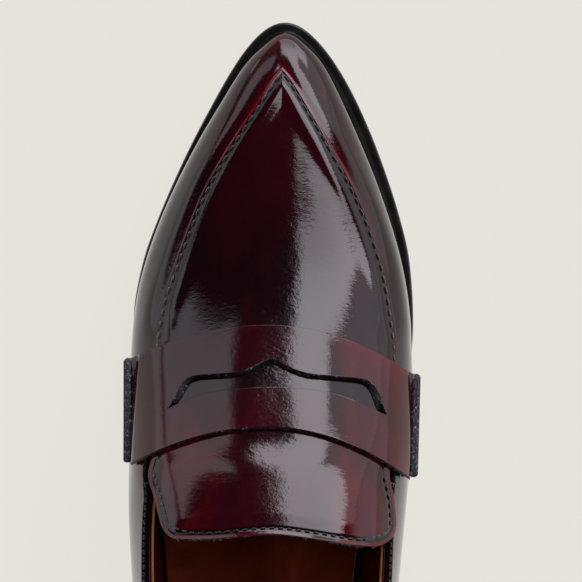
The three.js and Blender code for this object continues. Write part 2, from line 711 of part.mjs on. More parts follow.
// The strap, from one side seam over the instep to the other, each end turned out as a flange.
const parabola = (middle, fall, x) => {
  const side = x < STRAP_MIDDLE_X ? fall.lateral : fall.medial;
  return middle - side * ((x - STRAP_MIDDLE_X) / STRAP_HALF_SPAN) ** 2;
};
const strapFront = (x) => parabola(STRAP_FRONT_Y, FRONT_FALL, x);
const strapRear = (x) => parabola(STRAP_REAR_Y, REAR_FALL, x);
const seamZ = (y) => mix(SEAM_REAR.z, SEAM_FRONT.z, (y - SEAM_REAR.y) / (SEAM_FRONT.y - SEAM_REAR.y));
const seamClimb = (y) => climbAtHeight(y, seamZ(y));
const edgeClimb = (side, y) => {
  const reach = Math.min((plugX[side](y) - centreX(y)) / (formX[side](y) - centreX(y)), 1);
  return (Math.acos(reach ** (squareness(y) / 2)) * 2) / Math.PI;
};
const STRAP_OVER_PLUG = PLUG_TOP + LAYER_GAP;
function strapPlace(i, across) {
  const side = across < 0 ? -1 : 1;
  let x = side * STRAP_HALF_SPAN * Math.abs(across);
  let y = 0;
  let climb = 0;
  for (let round = 0; round < FIT_ROUNDS; round++) {
    y = mix(strapRear(x), strapFront(x), i);
    climb = mix(1, seamClimb(y), Math.abs(across));
    x = formPoint(turnAt(y), side, climb).x;
  }
  const share = (climb - seamClimb(y)) / (edgeClimb(side, y) - seamClimb(y));
  const level = mix(CLEARANCE, STRAP_OVER_PLUG, THREE.MathUtils.smoothstep(share, 0, STRAP_SHOULDER));
  return { y, side, climb, level };
}
function strapBand() {
  const surface = (thickness) => (i, j) => {
    const place = strapPlace(i, 2 * j - 1);
    return liftedPoint(turnAt(place.y), place.side, place.climb, place.level + thickness);
  };
  return sheet(STRAP_ROWS, 2 * ACROSS_COLUMNS - 4, surface(STRAP_LEATHER), surface(0));
}
function flange(side, low) {
  const surface = (rise) => (i, j) => {
    const { y, climb } = strapPlace(i, side);
    const start = liftedPoint(turnAt(y), side, climb, CLEARANCE + STRAP_LEATHER * FLANGE_ROOT);
    const reach = STRAP_LEATHER * (1 - FLANGE_ROOT) + SEAM_FLANGE;
    return new THREE.Vector3(start.x + side * reach * j, y, seamZ(y) + low + rise);
  };
  return sheet(STRAP_ROWS, 1, surface(SEAM_FLANGE_THICKNESS), surface(0));
}
function slotPrism() {
  const half = [
    // The notch, from its rounded peak down its flank to the front edge.
    [0, SLOT_NOTCH_RISE],
    [SLOT_NOTCH_HALF * 0.25, SLOT_NOTCH_RISE * 0.93],
    [SLOT_NOTCH_HALF * 0.75, SLOT_FRONT_RISE * 1.28],
    [SLOT_NOTCH_HALF * 1.5, SLOT_FRONT_RISE],
    // The shoulder's round corner, and the pointed tip.
    [SLOT_SHOULDER_X * 0.93, SLOT_SHOULDER_RISE * 1.08],
    [SLOT_SHOULDER_X + 1, SLOT_SHOULDER_RISE * 0.7],
    [SLOT_HALF_LENGTH, -SLOT_TIP_DROP],
    // The rear edge, which bows forward in its middle.
    [SLOT_SIDE_X + 7, -SLOT_SIDE_DROP * 1.7],
    [SLOT_SIDE_X, -SLOT_SIDE_DROP],
    [SLOT_SIDE_X / 2, -SLOT_SIDE_DROP * 0.3],
  ];
  const mirrored = half.slice(1).map(([x, y]) => [-x, y]).reverse();
  const prism = planPrism([...half, [0, 0], ...mirrored], 0, ridgeZ(HEEL_Y));
  return prism.rotateZ(SLOT_TURN).translate(SLOT_X, SLOT_Y, 0);
}
const saddleStrap = () => join(cut(strapBand(), slotPrism()), flange(-1, 0), flange(1, 0));
function sideTab(side) {
  const frontY = strapPlace(1, side).y;
  const rearY = strapPlace(0, side).y;
  const top = (y) => climbAtHeight(y, seamZ(y) - CLEARANCE - SEAM_SKIVE * STRAP_LEATHER);
  const panel = wall(
    turnAt(frontY),
    turnAt(rearY),
    side,
    STRAP_ROWS,
    feather,
    top,
    CLEARANCE + STRAP_LEATHER,
    CLEARANCE,
  );
  return join(panel, flange(side, -CLEARANCE - SEAM_FLANGE_THICKNESS));
}

// Materials and the finished shoe.
const material = (color, roughness, metalness = 0) => ({ color, roughness, metalness });
const BURGUNDY = material(0x3a0710, 0.2);
const DEEP_BURGUNDY = material(0x280a12, 0.2);
const BROWN_LINING = material(0x4a2012, 0.6);
const BLACK_SOLE = material(0x0c0d0d, 0.5);
const STEEL = material(0x8a8d90, 0.4, 0.9);
const BOARD = material(0x9a8263, 0.9);
const CORK = material(0x8f6a43, 0.95);
const FELT = material(0xb9ab92, 0.95);

const shoe = new THREE.Group();
function add(name, geometry, look) {
  geometry.computeVertexNormals();
  const mesh = new THREE.Mesh(geometry, new THREE.MeshStandardMaterial(look));
  mesh.name = name;
  shoe.add(mesh);
}
add("outsole", outsole(), BLACK_SOLE);
add("welt", welt(), BLACK_SOLE);
add("bottom_filler", bottomFiller(), CORK);
add("shank", shankPlate(0), STEEL);
add("insole_board", insoleBoard(), BOARD);
add("sock_lining", sockLining(), BROWN_LINING);
add("heel_pad", heelPad(), BROWN_LINING);
add("heel_block", heelBlock(), BLACK_SOLE);
add("heel_top_piece", heelTopPiece(), BLACK_SOLE);
nailPlaces.forEach((place, i) => add(`heel_nail_${i + 1}`, nail(place, 0), STEEL));
add("vamp", vamp(), BURGUNDY);
add("toe_puff", toePuff(), FELT);
add("vamp_lining", vampLining(), BROWN_LINING);
add("plug", plug(), BURGUNDY);
add("tongue_root", tongueRoot(), BURGUNDY);
add("tongue", tongue(), BURGUNDY);
add("tongue_lining", tongueLining(), BROWN_LINING);
add("saddle_strap", saddleStrap(), DEEP_BURGUNDY);
add("heel_counter", heelCounter(), FELT);
add("back_strip", backStrip(), BURGUNDY);
add("topline_binding", toplineBinding(), DEEP_BURGUNDY);
for (const [side, word] of [[-1, "lateral"], [1, "medial"]]) {
  add(`side_tab_${word}`, sideTab(side), DEEP_BURGUNDY);
  add(`quarter_${word}`, quarter(side), BURGUNDY);
  add(`quarter_lining_${word}`, quarterLining(side), BROWN_LINING);
}

export default shoe;
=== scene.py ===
import math

import bmesh
import bpy
import numpy as np
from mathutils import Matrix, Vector


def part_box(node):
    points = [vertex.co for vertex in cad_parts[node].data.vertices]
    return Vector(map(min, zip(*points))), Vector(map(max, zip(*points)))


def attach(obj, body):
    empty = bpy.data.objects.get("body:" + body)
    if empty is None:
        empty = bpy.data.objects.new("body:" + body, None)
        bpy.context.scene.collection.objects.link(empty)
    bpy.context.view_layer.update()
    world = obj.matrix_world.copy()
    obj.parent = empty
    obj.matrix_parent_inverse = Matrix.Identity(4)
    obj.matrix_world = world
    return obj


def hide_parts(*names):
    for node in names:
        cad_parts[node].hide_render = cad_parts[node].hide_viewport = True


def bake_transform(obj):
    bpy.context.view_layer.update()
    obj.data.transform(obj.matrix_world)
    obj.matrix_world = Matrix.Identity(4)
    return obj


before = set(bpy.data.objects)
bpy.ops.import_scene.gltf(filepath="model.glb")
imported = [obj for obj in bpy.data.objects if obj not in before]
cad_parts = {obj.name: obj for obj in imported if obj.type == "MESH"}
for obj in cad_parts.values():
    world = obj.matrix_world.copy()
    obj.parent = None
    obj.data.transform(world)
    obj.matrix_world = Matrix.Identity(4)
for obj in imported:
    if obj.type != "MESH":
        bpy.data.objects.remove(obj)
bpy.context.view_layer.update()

MM = 0.001
SEED = 7

# Sizes taken from the frame.
_, SOLE_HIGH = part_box("outsole")
_, TOP_PIECE_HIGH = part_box("heel_top_piece")
_, HEEL_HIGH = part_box("heel_block")
TOE_TIP_Y = SOLE_HIGH[1] / MM
TOP_PIECE_Z = TOP_PIECE_HIGH[2] / MM
HEEL_BREAST_Y = HEEL_HIGH[1] / MM

PATTERN_TOE_Y = 140
GRADE = TOE_TIP_Y / PATTERN_TOE_Y
TOE_SPRING = 7.5
HEEL_HEIGHT = 18
GAP = 0.3

OUTSOLE = 3.6
WELT = 2.2
BOARD = 1.8
SOCK = 1.0
LINING = 0.8
STRAP = 1.7
LINING_DEPTH = 3.0

# Heights of the seen leather surfaces over the foot form.
PLUG_LIFT = 1.1
STRAP_LIFT = 3.0
STRAP_SIDE_LIFT = 1.9

# Saddle strap, side seams, tongue and heel curve, as on the frame's pieces.
STRAP_MIDDLE_X = -1
STRAP_FRONT_Y = 45.8
STRAP_REAR_Y = 14.4
STRAP_HALF_SPAN = 44
FRONT_FALL = (11.2, 14.6)
REAR_FALL = (12.2, 15.8)
SEAM_FRONT = (34, 39.5)
SEAM_REAR = (0, 48.5)
VAMP_REAR_Y = 16
THROAT_Y = 0
TONGUE_FRONT_Y = 15.7
TONGUE_END_Y = -19
TONGUE_CORNER = 5
HEEL_FULLEST_Z = 40
HEEL_LEAN = 0.0042
HEEL_LEAN_START_Y = -60

# Foot form in plan: y, lateral x, medial x.
FORM_PLAN = [
    (136.6, 4.5, 4.5), (134, -0.9, 9.7), (127.9, -7.4, 15.7), (115.5, -15.4, 22.4), (103.1, -22.7, 27.9),
    (90.7, -29.1, 32.9), (78.3, -34.6, 37.1), (65.9, -39, 40.5), (53.5, -42, 42.6), (38, -43.6, 43.8),
    (16, -44.1, 44.3), (-8.5, -44.3, 42.2), (-33, -43.2, 39.8), (-60, -41.2, 36.6), (-90, -38, 32.4),
    (-115, -33.4, 27.6), (-130, -24, 18.2), (-138.8, -3, -3),
]
# How far the form is drawn in under its widest line: y, lateral, medial.
FORM_TUCK = [
    (136.6, 0, 0), (115.5, 0.5, 0.5), (65.9, 1.6, 1.6), (38, 3.2, 3.4), (0, 5, 7.5), (-33, 6.8, 9.4),
    (-75, 5.4, 6.4), (-115, 3, 3), (-138.8, 0, 0),
]
# Form heights: y, ridge, widest line over the feather line, squareness of the section.
FORM_HEIGHT = [
    (136.6, 16, 1.5, 2.5), (133, 21, 2, 2.7), (115.5, 29, 4, 2.75), (90.7, 35.2, 7, 2.65),
    (65.9, 41.2, 10, 2.6), (45, 49.5, 12, 2.75), (16, 64.3, 14, 3), (0, 71.8, 15, 3.2),
    (-20, 78.5, 17, 3.1), (-60, 92, 18, 3), (-100, 104, 17, 3), (-138.8, 110, 16, 3),
]
# Outsole in plan: y, lateral x, medial x.
SOLE_PLAN = [
    (140, 4.4, 4.4), (136.5, -3.4, 12.1), (127.9, -10.5, 19.5), (115.5, -17.8, 26.6), (96.9, -27.4, 34.4),
    (78.3, -35.5, 40.4), (65.9, -39.9, 43.2), (47.3, -43, 44.4), (20, -42.6, 42), (-8, -40.2, 35.6),
    (-38, -37.6, 31), (-72, -36, 28.6), (-104, -34.8, 27.8), (-124, -27.4, 21), (-137, -3, -3),
]
# Underside of the outsole: y, share of the toe spring, share of the heel height.
SOLE_RISE = [
    (140, 1, 0), (115, 0.5, 0), (92, 0.14, 0), (72, 0, 0), (26, 0, 0), (4, 0, 0.12), (-22, 0, 0.43),
    (-48, 0, 0.76), (-72, 0, 0.95), (-138.8, 0, 1),
]
# Height of the topline: y, z.
TOPLINE = [(16, 55), (-5, 56.3), (-35, 57.5), (-65, 58), (-95, 62), (-120, 70), (-138.8, 77)]
# Outline of the plug: y, lateral x, medial x.
PLUG_PLAN = [
    (126, 3.4, 3.4), (123.5, 1.2, 5.7), (113, -5.7, 12.3), (98, -15.4, 20.9), (87, -21.4, 26.7),
    (74.8, -26.4, 31.8), (62.6, -30.8, 35.6), (50.4, -34.7, 37.8), (36, -36.6, 39.2), (16, -37.6, 38.6),
]


# ---------------------------------------------------------------- curves and the foot form
def mix(a, b, t):
    return a + (b - a) * t


def ease(t):
    t = np.clip(t, 0, 1)
    return t * t * (3 - 2 * t)


def hump(distance, width):
    return np.exp(-((distance / width) ** 2))


def patch(points, x, y, half_width, half_length):
    """1 at a place in plan, falling softly away around it."""
    return hump(points[:, 0] - x, half_width) * hump(points[:, 1] - y, half_length)


def unit(ways):
    return ways / np.linalg.norm(ways, axis=-1, keepdims=True)


class Curve:
    """A smooth curve through rows of values, which never overshoots between two rows."""

    def __init__(self, places, values, softness, mirror=None):
        places = np.array(places, float)
        values = np.array(values, float)
        count = 1600
        self.fine = np.linspace(places[0], places[-1], count)
        samples = self._through(places, values, self.fine)
        if softness > 0:
            reach = int(3 * softness * count)
            ends = samples if mirror is None else self._through(places, np.array(mirror, float), self.fine)
            padded = np.concatenate([ends[reach:0:-1], samples, ends[-2 : -reach - 2 : -1]])
            offsets = np.arange(-reach, reach + 1) / (softness * count)
            weights = np.exp(-0.5 * offsets**2)
            samples = np.convolve(padded, weights / weights.sum(), "valid")
        self.samples = samples

    @staticmethod
    def _through(places, values, at):
        steps = np.diff(places)
        slopes = np.diff(values) / steps
        tangents = np.concatenate([slopes[:1], np.zeros(len(slopes) - 1), slopes[-1:]])
        for i in range(1, len(slopes)):
            before = slopes[i - 1]
            after = slopes[i]
            if before * after > 0:
                w1 = 2 * steps[i] + steps[i - 1]
                w2 = steps[i] + 2 * steps[i - 1]
                tangents[i] = (w1 + w2) / (w1 / before + w2 / after)
        i = np.clip(np.searchsorted(places, at, "right") - 1, 0, len(steps) - 1)
        t = (at - places[i]) / steps[i]
        rise = values[i + 1] - values[i]
        a = tangents[i] * steps[i]
        b = tangents[i + 1] * steps[i]
        return values[i] + t * (a + t * (3 * rise - 2 * a - b + t * (a + b - 2 * rise)))

    def __call__(self, place):
        return np.interp(place, self.fine, self.samples)


def turn_of(y, toe, heel):
    share = (2 * y - toe - heel) / (toe - heel)
    return np.arccos(np.clip(share, -1, 1)) / math.pi


def column(table, index, round_ended=False, softness=0.008, mirror=None):
    toe = table[0][0] * GRADE
    heel = table[-1][0] * GRADE

    def place(y):
        return turn_of(y, toe, heel) if round_ended else -np.asarray(y, float)

    places = [place(row[0] * GRADE) for row in table]
    mirrored = None if mirror is None else [row[mirror] for row in table]
    curve = Curve(places, [row[index] for row in table], softness, mirrored)
    return lambda y: curve(place(y))


form_lateral = column(FORM_PLAN, 1, True, mirror=2)
form_medial = column(FORM_PLAN, 2, True, mirror=1)
tuck_lateral = column(FORM_TUCK, 1, softness=0.02)
tuck_medial = column(FORM_TUCK, 2, softness=0.02)
sole_lateral = column(SOLE_PLAN, 1, True, mirror=2)
sole_medial = column(SOLE_PLAN, 2, True, mirror=1)
plug_lateral = column(PLUG_PLAN, 1, softness=0)
plug_medial = column(PLUG_PLAN, 2, softness=0)
ridge_z = column(FORM_HEIGHT, 1, True, softness=0.012)
widest_rise = column(FORM_HEIGHT, 2, softness=0.03)
squareness = column(FORM_HEIGHT, 3, softness=0.03)
spring_share = column(SOLE_RISE, 1, softness=0.012)
heel_share = column(SOLE_RISE, 2, softness=0.012)
topline_z = column(TOPLINE, 1, softness=0.02)

FORM_TOE_Y = FORM_PLAN[0][0] * GRADE
FORM_HEEL_Y = FORM_PLAN[-1][0] * GRADE


def form_x(side, y):
    return np.where(side < 0, form_lateral(y), form_medial(y))


def tuck(side, y):
    return np.where(side < 0, tuck_lateral(y), tuck_medial(y))


def centre_x(y):
    return (form_lateral(y) + form_medial(y)) / 2


def sole_under(y):
    return TOE_SPRING * spring_share(y) + HEEL_HEIGHT * heel_share(y)


def welt_under(y):
    return sole_under(y) + OUTSOLE


def feather_z(y):
    return sole_under(y) + OUTSOLE + WELT + 2 * GAP


def sock_top(y):
    return feather_z(y) + BOARD + GAP + SOCK


def turn_at(y):
    return turn_of(y, FORM_TOE_Y, FORM_HEEL_Y)


def y_at(turn, toe=FORM_TOE_Y, heel=FORM_HEEL_Y):
    return (toe + heel + (toe - heel) * np.cos(math.pi * turn)) / 2


def form_point(turn, side, climb):
    """Points of the form, in rows of x, y, z. Turn runs from toe 0 to heel 1; climb from the feather
    line -1 over the widest line 0 to the ridge 1. Past its ends the form goes on, on its other side."""
    turn, side, climb = np.broadcast_arrays(
        np.asarray(turn, float), np.asarray(side, float), np.asarray(climb, float)
    )
    side = np.where(turn < 0, -side, side)
    turn = np.abs(turn)
    side = np.where(turn > 1, -side, side)
    turn = np.where(turn > 1, 2 - turn, turn)
    side = np.where(climb > 1, -side, side)
    climb = np.where(climb > 1, 2 - climb, climb)
    y = y_at(turn)
    middle = centre_x(y)
    wide = form_x(side, y)
    feather = feather_z(y)
    widest = feather + widest_rise(y)
    power = 2 / squareness(y)
    angle = np.clip(climb, 0, 1) * math.pi / 2
    upper_x = middle + (wide - middle) * np.maximum(np.cos(angle), 0) ** power
    upper_z = widest + (ridge_z(y) - widest) * np.sin(angle) ** power
    below = climb < 0
    tucked = tuck(side, y)
    at_heel = y < HEEL_LEAN_START_Y
    tucked = np.where(at_heel, np.minimum(tucked, 0.9 * np.abs(wide - middle)), tucked)
    x = np.where(below, wide - side * tucked * climb**2, upper_x)
    z = np.where(below, widest + (widest - feather) * climb, upper_z)
    behind = np.maximum(0, (HEEL_LEAN_START_Y - y) / (HEEL_LEAN_START_Y - FORM_HEEL_Y))
    lean = HEEL_LEAN * behind**2 * (z - HEEL_FULLEST_Z) ** 2
    return np.stack([x, y + lean, z], axis=-1)


# How far apart two points of the form are taken, to find which way it faces.
PROBE = 0.002


def form_normal(turn, side, climb):
    low = np.maximum(climb - PROBE, -1)
    along_turn = form_point(turn + PROBE, side, climb) - form_point(turn - PROBE, side, climb)
    along_climb = form_point(turn, side, climb + PROBE) - form_point(turn, side, low)
    normal = np.cross(along_climb, along_turn) * np.asarray(side)[..., None]
    return normal / np.maximum(np.linalg.norm(normal, axis=-1, keepdims=True), 1e-9)


def lifted(turn, side, climb, lift):
    turn, side, climb, lift = np.broadcast_arrays(turn, side, climb, lift)
    point = form_point(turn, side, climb)
    out = point + form_normal(turn, side, climb) * lift[..., None]
    out[..., 2] = np.where(climb <= -1, point[..., 2], out[..., 2])
    return out


def climb_at_height(y, z):
    widest = feather_z(y) + widest_rise(y)
    share = np.clip((z - widest) / (ridge_z(y) - widest), 0, 1)
    upper = np.arcsin(share ** (squareness(y) / 2)) * 2 / math.pi
    return np.where(z < widest, (z - widest) / widest_rise(y), upper)


def side_and_climb(x, y):
    middle = centre_x(y)
    side = np.where(x < middle, -1.0, 1.0)
    share = np.clip((x - middle) / (form_x(side, y) - middle + side * 1e-6), 0, 1)
    return side, np.arccos(share ** (squareness(y) / 2)) * 2 / math.pi


def point_above(x, y, lift):
    """The point at a lift over the form that is seen at x, y from straight above."""
    form_x_now = np.asarray(x, float)
    form_y_now = np.asarray(y, float)
    point = None
    for _ in range(3):
        side, climb = side_and_climb(form_x_now, form_y_now)
        point = lifted(turn_at(form_y_now), side, climb, lift)
        form_x_now = form_x_now + x - point[..., 0]
        form_y_now = np.clip(form_y_now + y - point[..., 1], FORM_HEEL_Y + 0.1, FORM_TOE_Y - 0.1)
    return point


# ---------------------------------------------------------------- meshes
MERGE_REACH = 0.02
THINNEST_FACE = 0.005
SHEET_CORNER = 50
STRAP_CORNER = 32


def link(mesh, name):
    obj = bpy.data.objects.new(name, mesh)
    bpy.context.scene.collection.objects.link(obj)
    return obj


def smooth(mesh):
    for polygon in mesh.polygons:
        polygon.use_smooth = True


def turn_outward(mesh):
    """Turns a closed piece's faces outward."""
    tidy = bmesh.new()
    tidy.from_mesh(mesh)
    bmesh.ops.recalc_face_normals(tidy, faces=tidy.faces)
    tidy.to_mesh(mesh)
    tidy.free()


def raw_mesh(name, points, faces, kinds=None, outward=False):
    """A mesh from points in millimetres, with shared corners merged. Kinds gives each face's material."""
    mesh = bpy.data.meshes.new(name)
    mesh.from_pydata([tuple(p) for p in np.asarray(points) * MM], [], faces)
    if kinds is not None:
        mesh.polygons.foreach_set("material_index", kinds)
    tidy = bmesh.new()
    tidy.from_mesh(mesh)
    bmesh.ops.remove_doubles(tidy, verts=tidy.verts, dist=MERGE_REACH * MM)
    bmesh.ops.dissolve_degenerate(tidy, edges=tidy.edges, dist=THINNEST_FACE * MM)
    tidy.to_mesh(mesh)
    tidy.free()
    if outward:
        turn_outward(mesh)
    smooth(mesh)
    return mesh


def grid_faces(rows, columns, kept=None):
    faces = []
    for i in range(rows - 1):
        for j in range(columns - 1):
            if kept is None or kept(i, j):
                a = i * columns + j
                faces.append((a, a + 1, a + columns + 1, a + columns))
    return faces


def face_out(mesh):
    """Turns an open sheet's faces away from the middle of the shoe."""
    votes = 0
    for polygon in mesh.polygons:
        c = polygon.center / MM
        inside = Vector((float(centre_x(c.y)), c.y, 25))
        votes += polygon.normal.dot(c - inside) * polygon.area
    if votes < 0:
        mesh.flip_normals()


def tint(obj, values):
    """Stores one number for each corner point, for the materials to shade with."""
    layer = obj.data.attributes.new("tint", "FLOAT", "POINT")
    layer.data.foreach_set("value", np.full(len(obj.data.vertices), values, np.float32))


def round_edges(obj, width, degrees):
    """Rounds the edges that turn by more than an angle, and applies the object's modifiers."""
    bevel = obj.modifiers.new("rounding", "BEVEL")
    bevel.width = width * MM
    bevel.segments = 3
    bevel.limit_method = "ANGLE"
    bevel.angle_limit = math.radians(degrees)
    bevel.use_clamp_overlap = True
    graph = bpy.context.evaluated_depsgraph_get()
    mesh = bpy.data.meshes.new_from_object(obj.evaluated_get(graph))
    obj.modifiers.clear()
    obj.data = mesh
    smooth(mesh)


def shell(name, grid, thickness, materials, rounding, kept=None, outward=True):
    """A sheet of leather under a grid of its top surface's points, with rounded cut edges.
    The first material is its skin and the second its cut edge."""
    rows, columns = grid.shape[:2]
    mesh = raw_mesh(name, grid.reshape(-1, 3), grid_faces(rows, columns, kept))
    if outward:
        face_out(mesh)
    obj = link(mesh, name)
    for material in materials:
        mesh.materials.append(material)
    solid = obj.modifiers.new("thickness", "SOLIDIFY")
    solid.thickness = thickness * MM
    solid.offset = -1
    solid.use_even_offset = False
    solid.use_rim = True
    solid.material_offset_rim = len(materials) - 1
    round_edges(obj, rounding, SHEET_CORNER)
    return obj


def coordinates_of(obj):
    mesh = obj.data
    co = np.empty(len(mesh.vertices) * 3)
    mesh.vertices.foreach_get("co", co)
    return co.reshape(-1, 3) / MM


def spread(count, ease_in):
    """Places from 0 to 1, closer together towards both ends by ease_in."""
    t = np.linspace(0, 1, count)
    return mix(t, ease(t), ease_in)


def arc_lengths(points):
    steps = np.linalg.norm(np.diff(points, axis=0), axis=1)
    return np.concatenate([[0], np.cumsum(steps)])


def walk(points, pitch):
    """Places and directions along a path, a pitch apart."""
    lengths = arc_lengths(points)
    total = lengths[-1]
    count = max(int(total / pitch), 1)
    at = (np.arange(count) + 0.5) * total / count

    def place(distance):
        return np.stack([np.interp(distance, lengths, points[:, k]) for k in range(3)], axis=1)

    return place(at), unit(place(at + 0.2) - place(at - 0.2))


def ring_faces(count, sides, base=0, closed=False):
    """Faces between rings of points, each joined to the next. Closed joins the last to the first."""
    faces = []
    for i in range(count if closed else count - 1):
        low = base + i * sides
        high = base + (i + 1) % count * sides
        for j in range(sides):
            k = (j + 1) % sides
            faces.append((low + j, low + k, high + k, high + j))
    return faces


def tube_faces(count, sides, base=0):
    """Faces of a tube through rings of points, capped at both ends."""
    first = tuple(base + j for j in reversed(range(sides)))
    last = tuple(base + (count - 1) * sides + j for j in range(sides))
    return [*ring_faces(count, sides, base), first, last]


def stitches(name, points, normals, material, pitch, length, radius, sink):
    """A row of thread stitches along a path on the leather, each dipping into its holes."""
    place, along = walk(points, pitch)
    at = np.array([np.argmin(np.linalg.norm(points - p, axis=1)) for p in place])
    up = normals[at]
    across = unit(np.cross(along, up))
    rings = 9
    sides = 8
    s = np.linspace(-1, 1, rings)
    height = (1 - s**4) * radius - sink - 0.25 * s**8
    wide = radius * np.sqrt(np.maximum(1 - s**6, 0.03))
    theta = np.arange(sides) * 2 * math.pi / sides
    rng = np.random.default_rng(SEED)
    all_points = []
    faces = []
    for n in range(len(place)):
        direction = along[n] + across[n] * rng.normal(0, 0.05)
        faces += tube_faces(rings, sides, len(all_points))
        for r in range(rings):
            middle = place[n] + direction * s[r] * length / 2 + up[n] * height[r]
            for t in theta:
                all_points.append(middle + wide[r] * (across[n] * math.cos(t) + up[n] * math.sin(t)))
    mesh = bpy.data.meshes.new(name)
    mesh.from_pydata([tuple(p) for p in np.array(all_points) * MM], [], faces)
    smooth(mesh)
    mesh.materials.append(material)
    return link(mesh, name)


def swept(name, rings, material):
    """A solid through rings of points: rings has one row of points for each place on the path."""
    count, sides = rings.shape[:2]
    mesh = raw_mesh(name, rings.reshape(-1, 3), tube_faces(count, sides), outward=True)
    mesh.materials.append(material)
    return link(mesh, name)


def distance_to(points, path):
    """The shortest distance from each point to a path's points, in plan."""
    flat = points[..., :2].reshape(-1, 1, 2)
    gaps = np.linalg.norm(flat - path[None], axis=2)
    return gaps.min(axis=1).reshape(points.shape[:-1])


# ---------------------------------------------------------------- materials
def srgb(*levels):
    """A colour as the shaders take it, from its 0 to 255 levels."""

    def one(level):
        c = level / 255
        return c / 12.92 if c <= 0.04045 else ((c + 0.055) / 1.055) ** 2.4

    return (*(one(v) for v in levels), 1.0)


class Nodes:
    """A node tree, with short calls for the nodes used here."""

    def __init__(self, tree):
        self.tree = tree

    def feed(self, socket, value):
        if isinstance(value, bpy.types.NodeSocket):
            self.tree.links.new(value, socket)
        else:
            socket.default_value = value

    def node(self, kind, **inputs):
        made = self.tree.nodes.new(kind)
        for key, value in inputs.items():
            self.feed(made.inputs[key.replace("_", " ")], value)
        return made

    def math(self, operation, *values):
        made = self.node("ShaderNodeMath")
        made.operation = operation
        for socket, value in zip(made.inputs, values):
            self.feed(socket, value)
        return made.outputs[0]

    def scaled(self, value, factor, offset):
        return self.math("MULTIPLY_ADD", value, factor, offset)

    def product(self, first, *others):
        for other in others:
            first = self.math("MULTIPLY", first, other)
        return first


class Paint(Nodes):
    """A material, with short calls for its looks."""

    def __init__(self, name, **sockets):
        self.material = bpy.data.materials.new(name)
        self.material.use_nodes = True
        super().__init__(self.material.node_tree)
        self.shader = self.tree.nodes["Principled BSDF"]
        for socket, value in sockets.items():
            self.shader.inputs[socket.replace("_", " ")].default_value = value
        self.coordinates = self.node("ShaderNodeTexCoord").outputs["Object"]

    def noise(self, scale, detail=3.0, roughness=0.5, distortion=0.0, stretch=(1, 1, 1)):
        mapped = self.node("ShaderNodeMapping", Vector=self.coordinates, Scale=stretch)
        made = self.node(
            "ShaderNodeTexNoise",
            Vector=mapped.outputs["Vector"],
            Scale=scale,
            Detail=detail,
            Roughness=roughness,
            Distortion=distortion,
        )
        return made.outputs["Fac"]

    def ramp(self, value, *stops):
        made = self.node("ShaderNodeValToRGB", Fac=value)
        elements = made.color_ramp.elements
        while len(elements) < len(stops):
            elements.new(0.5)
        for element, (place, color) in zip(elements, stops):
            element.position = place
            element.color = color
        return made.outputs["Color"]

    def tint(self):
        made = self.node("ShaderNodeAttribute")
        made.attribute_name = "tint"
        return made.outputs["Fac"]

    def color(self, value, *stops):
        """Colours the surface by a value: stops of (value, colour)."""
        self.feed(self.shader.inputs["Base Color"], self.ramp(value, *stops))

    def roughness(self, value):
        self.feed(self.shader.inputs["Roughness"], value)

    def bump(self, *layers):
        """Layers of (height, millimetres deep)."""
        normal = None
        for height, depth in layers:
            made = self.node("ShaderNodeBump", Strength=1.0, Distance=depth * MM, Height=height)
            if normal is not None:
                self.feed(made.inputs["Normal"], normal)
            normal = made.outputs["Normal"]
        self.feed(self.shader.inputs["Normal"], normal)
        self.feed(self.shader.inputs["Coat Normal"], normal)


POLISH = 0.03
UNPOLISHED_TINT = -0.26


def polished_leather(name, dark, middle, bright, patch_low, patch_high, grain):
    """High-gloss leather, its dye rubbed back to a brighter red in soft patches. Its tint adds painted
    glow and painted shade in places. Where its tint is very dark, as in the painted shade of the sewn
    grooves, it is also less polished."""
    paint = Paint(name, IOR=1.5)
    patches = paint.noise(26, 3, 0.55, 0.5, (1, 0.45, 1))
    streaks = paint.noise(210, 4, 0.6, 0.2, (1, 0.3, 1))
    tinted = paint.tint()
    shaded = paint.scaled(patches, 0.82, paint.scaled(streaks, 0.18, tinted))
    middle_place = (patch_low + patch_high) / 2
    paint.color(shaded, (patch_low, dark), (middle_place, middle), (patch_high, bright))
    wear = paint.noise(900, 3, 0.6)
    smudges = paint.noise(70, 3, 0.6)
    rough = paint.scaled(wear, 0.03, paint.scaled(smudges, 0.06, POLISH))
    unpolished = paint.math("MAXIMUM", paint.math("SUBTRACT", UNPOLISHED_TINT, tinted), 0.0)
    paint.roughness(paint.scaled(unpolished, 1.5, rough))
    fine_grain = paint.noise(1900, 3, 0.6, 0.3)
    feather_grain = paint.noise(640, 2, 0.5, 0.4, (1, 1.7, 1))
    waves = paint.noise(120, 2, 0.5)
    paint.bump((fine_grain, 0.008 * grain), (feather_grain, 0.02 * grain), (waves, 0.05 * grain))
    return paint.material


def raw_edge(name):
    """The black, ink-painted cut edge of leather, with its fibre texture and painted glints."""
    paint = Paint(name)
    fibres_and_glints = paint.noise(1100, 4, 0.7)
    specks = paint.noise(900, 2, 0.5)
    # Its pale specks are painted glints.
    paint.color(fibres_and_glints, (0.48, srgb(3, 3, 5)), (0.58, srgb(9, 11, 14)), (0.68, srgb(132, 140, 162)))
    paint.roughness(paint.scaled(specks, 0.4, 0.36))
    paint.bump((fibres_and_glints, 0.12), (specks, 0.1))
    return paint.material


def thread(name, dark, light):
    paint = Paint(name, Sheen_Weight=0.3, IOR=1.5)
    strands = paint.noise(3800, 2, 0.5)
    paint.color(strands, (0.38, dark), (0.62, light))
    paint.roughness(paint.scaled(strands, 0.2, 0.14))
    paint.bump((strands, 0.07))
    return paint.material


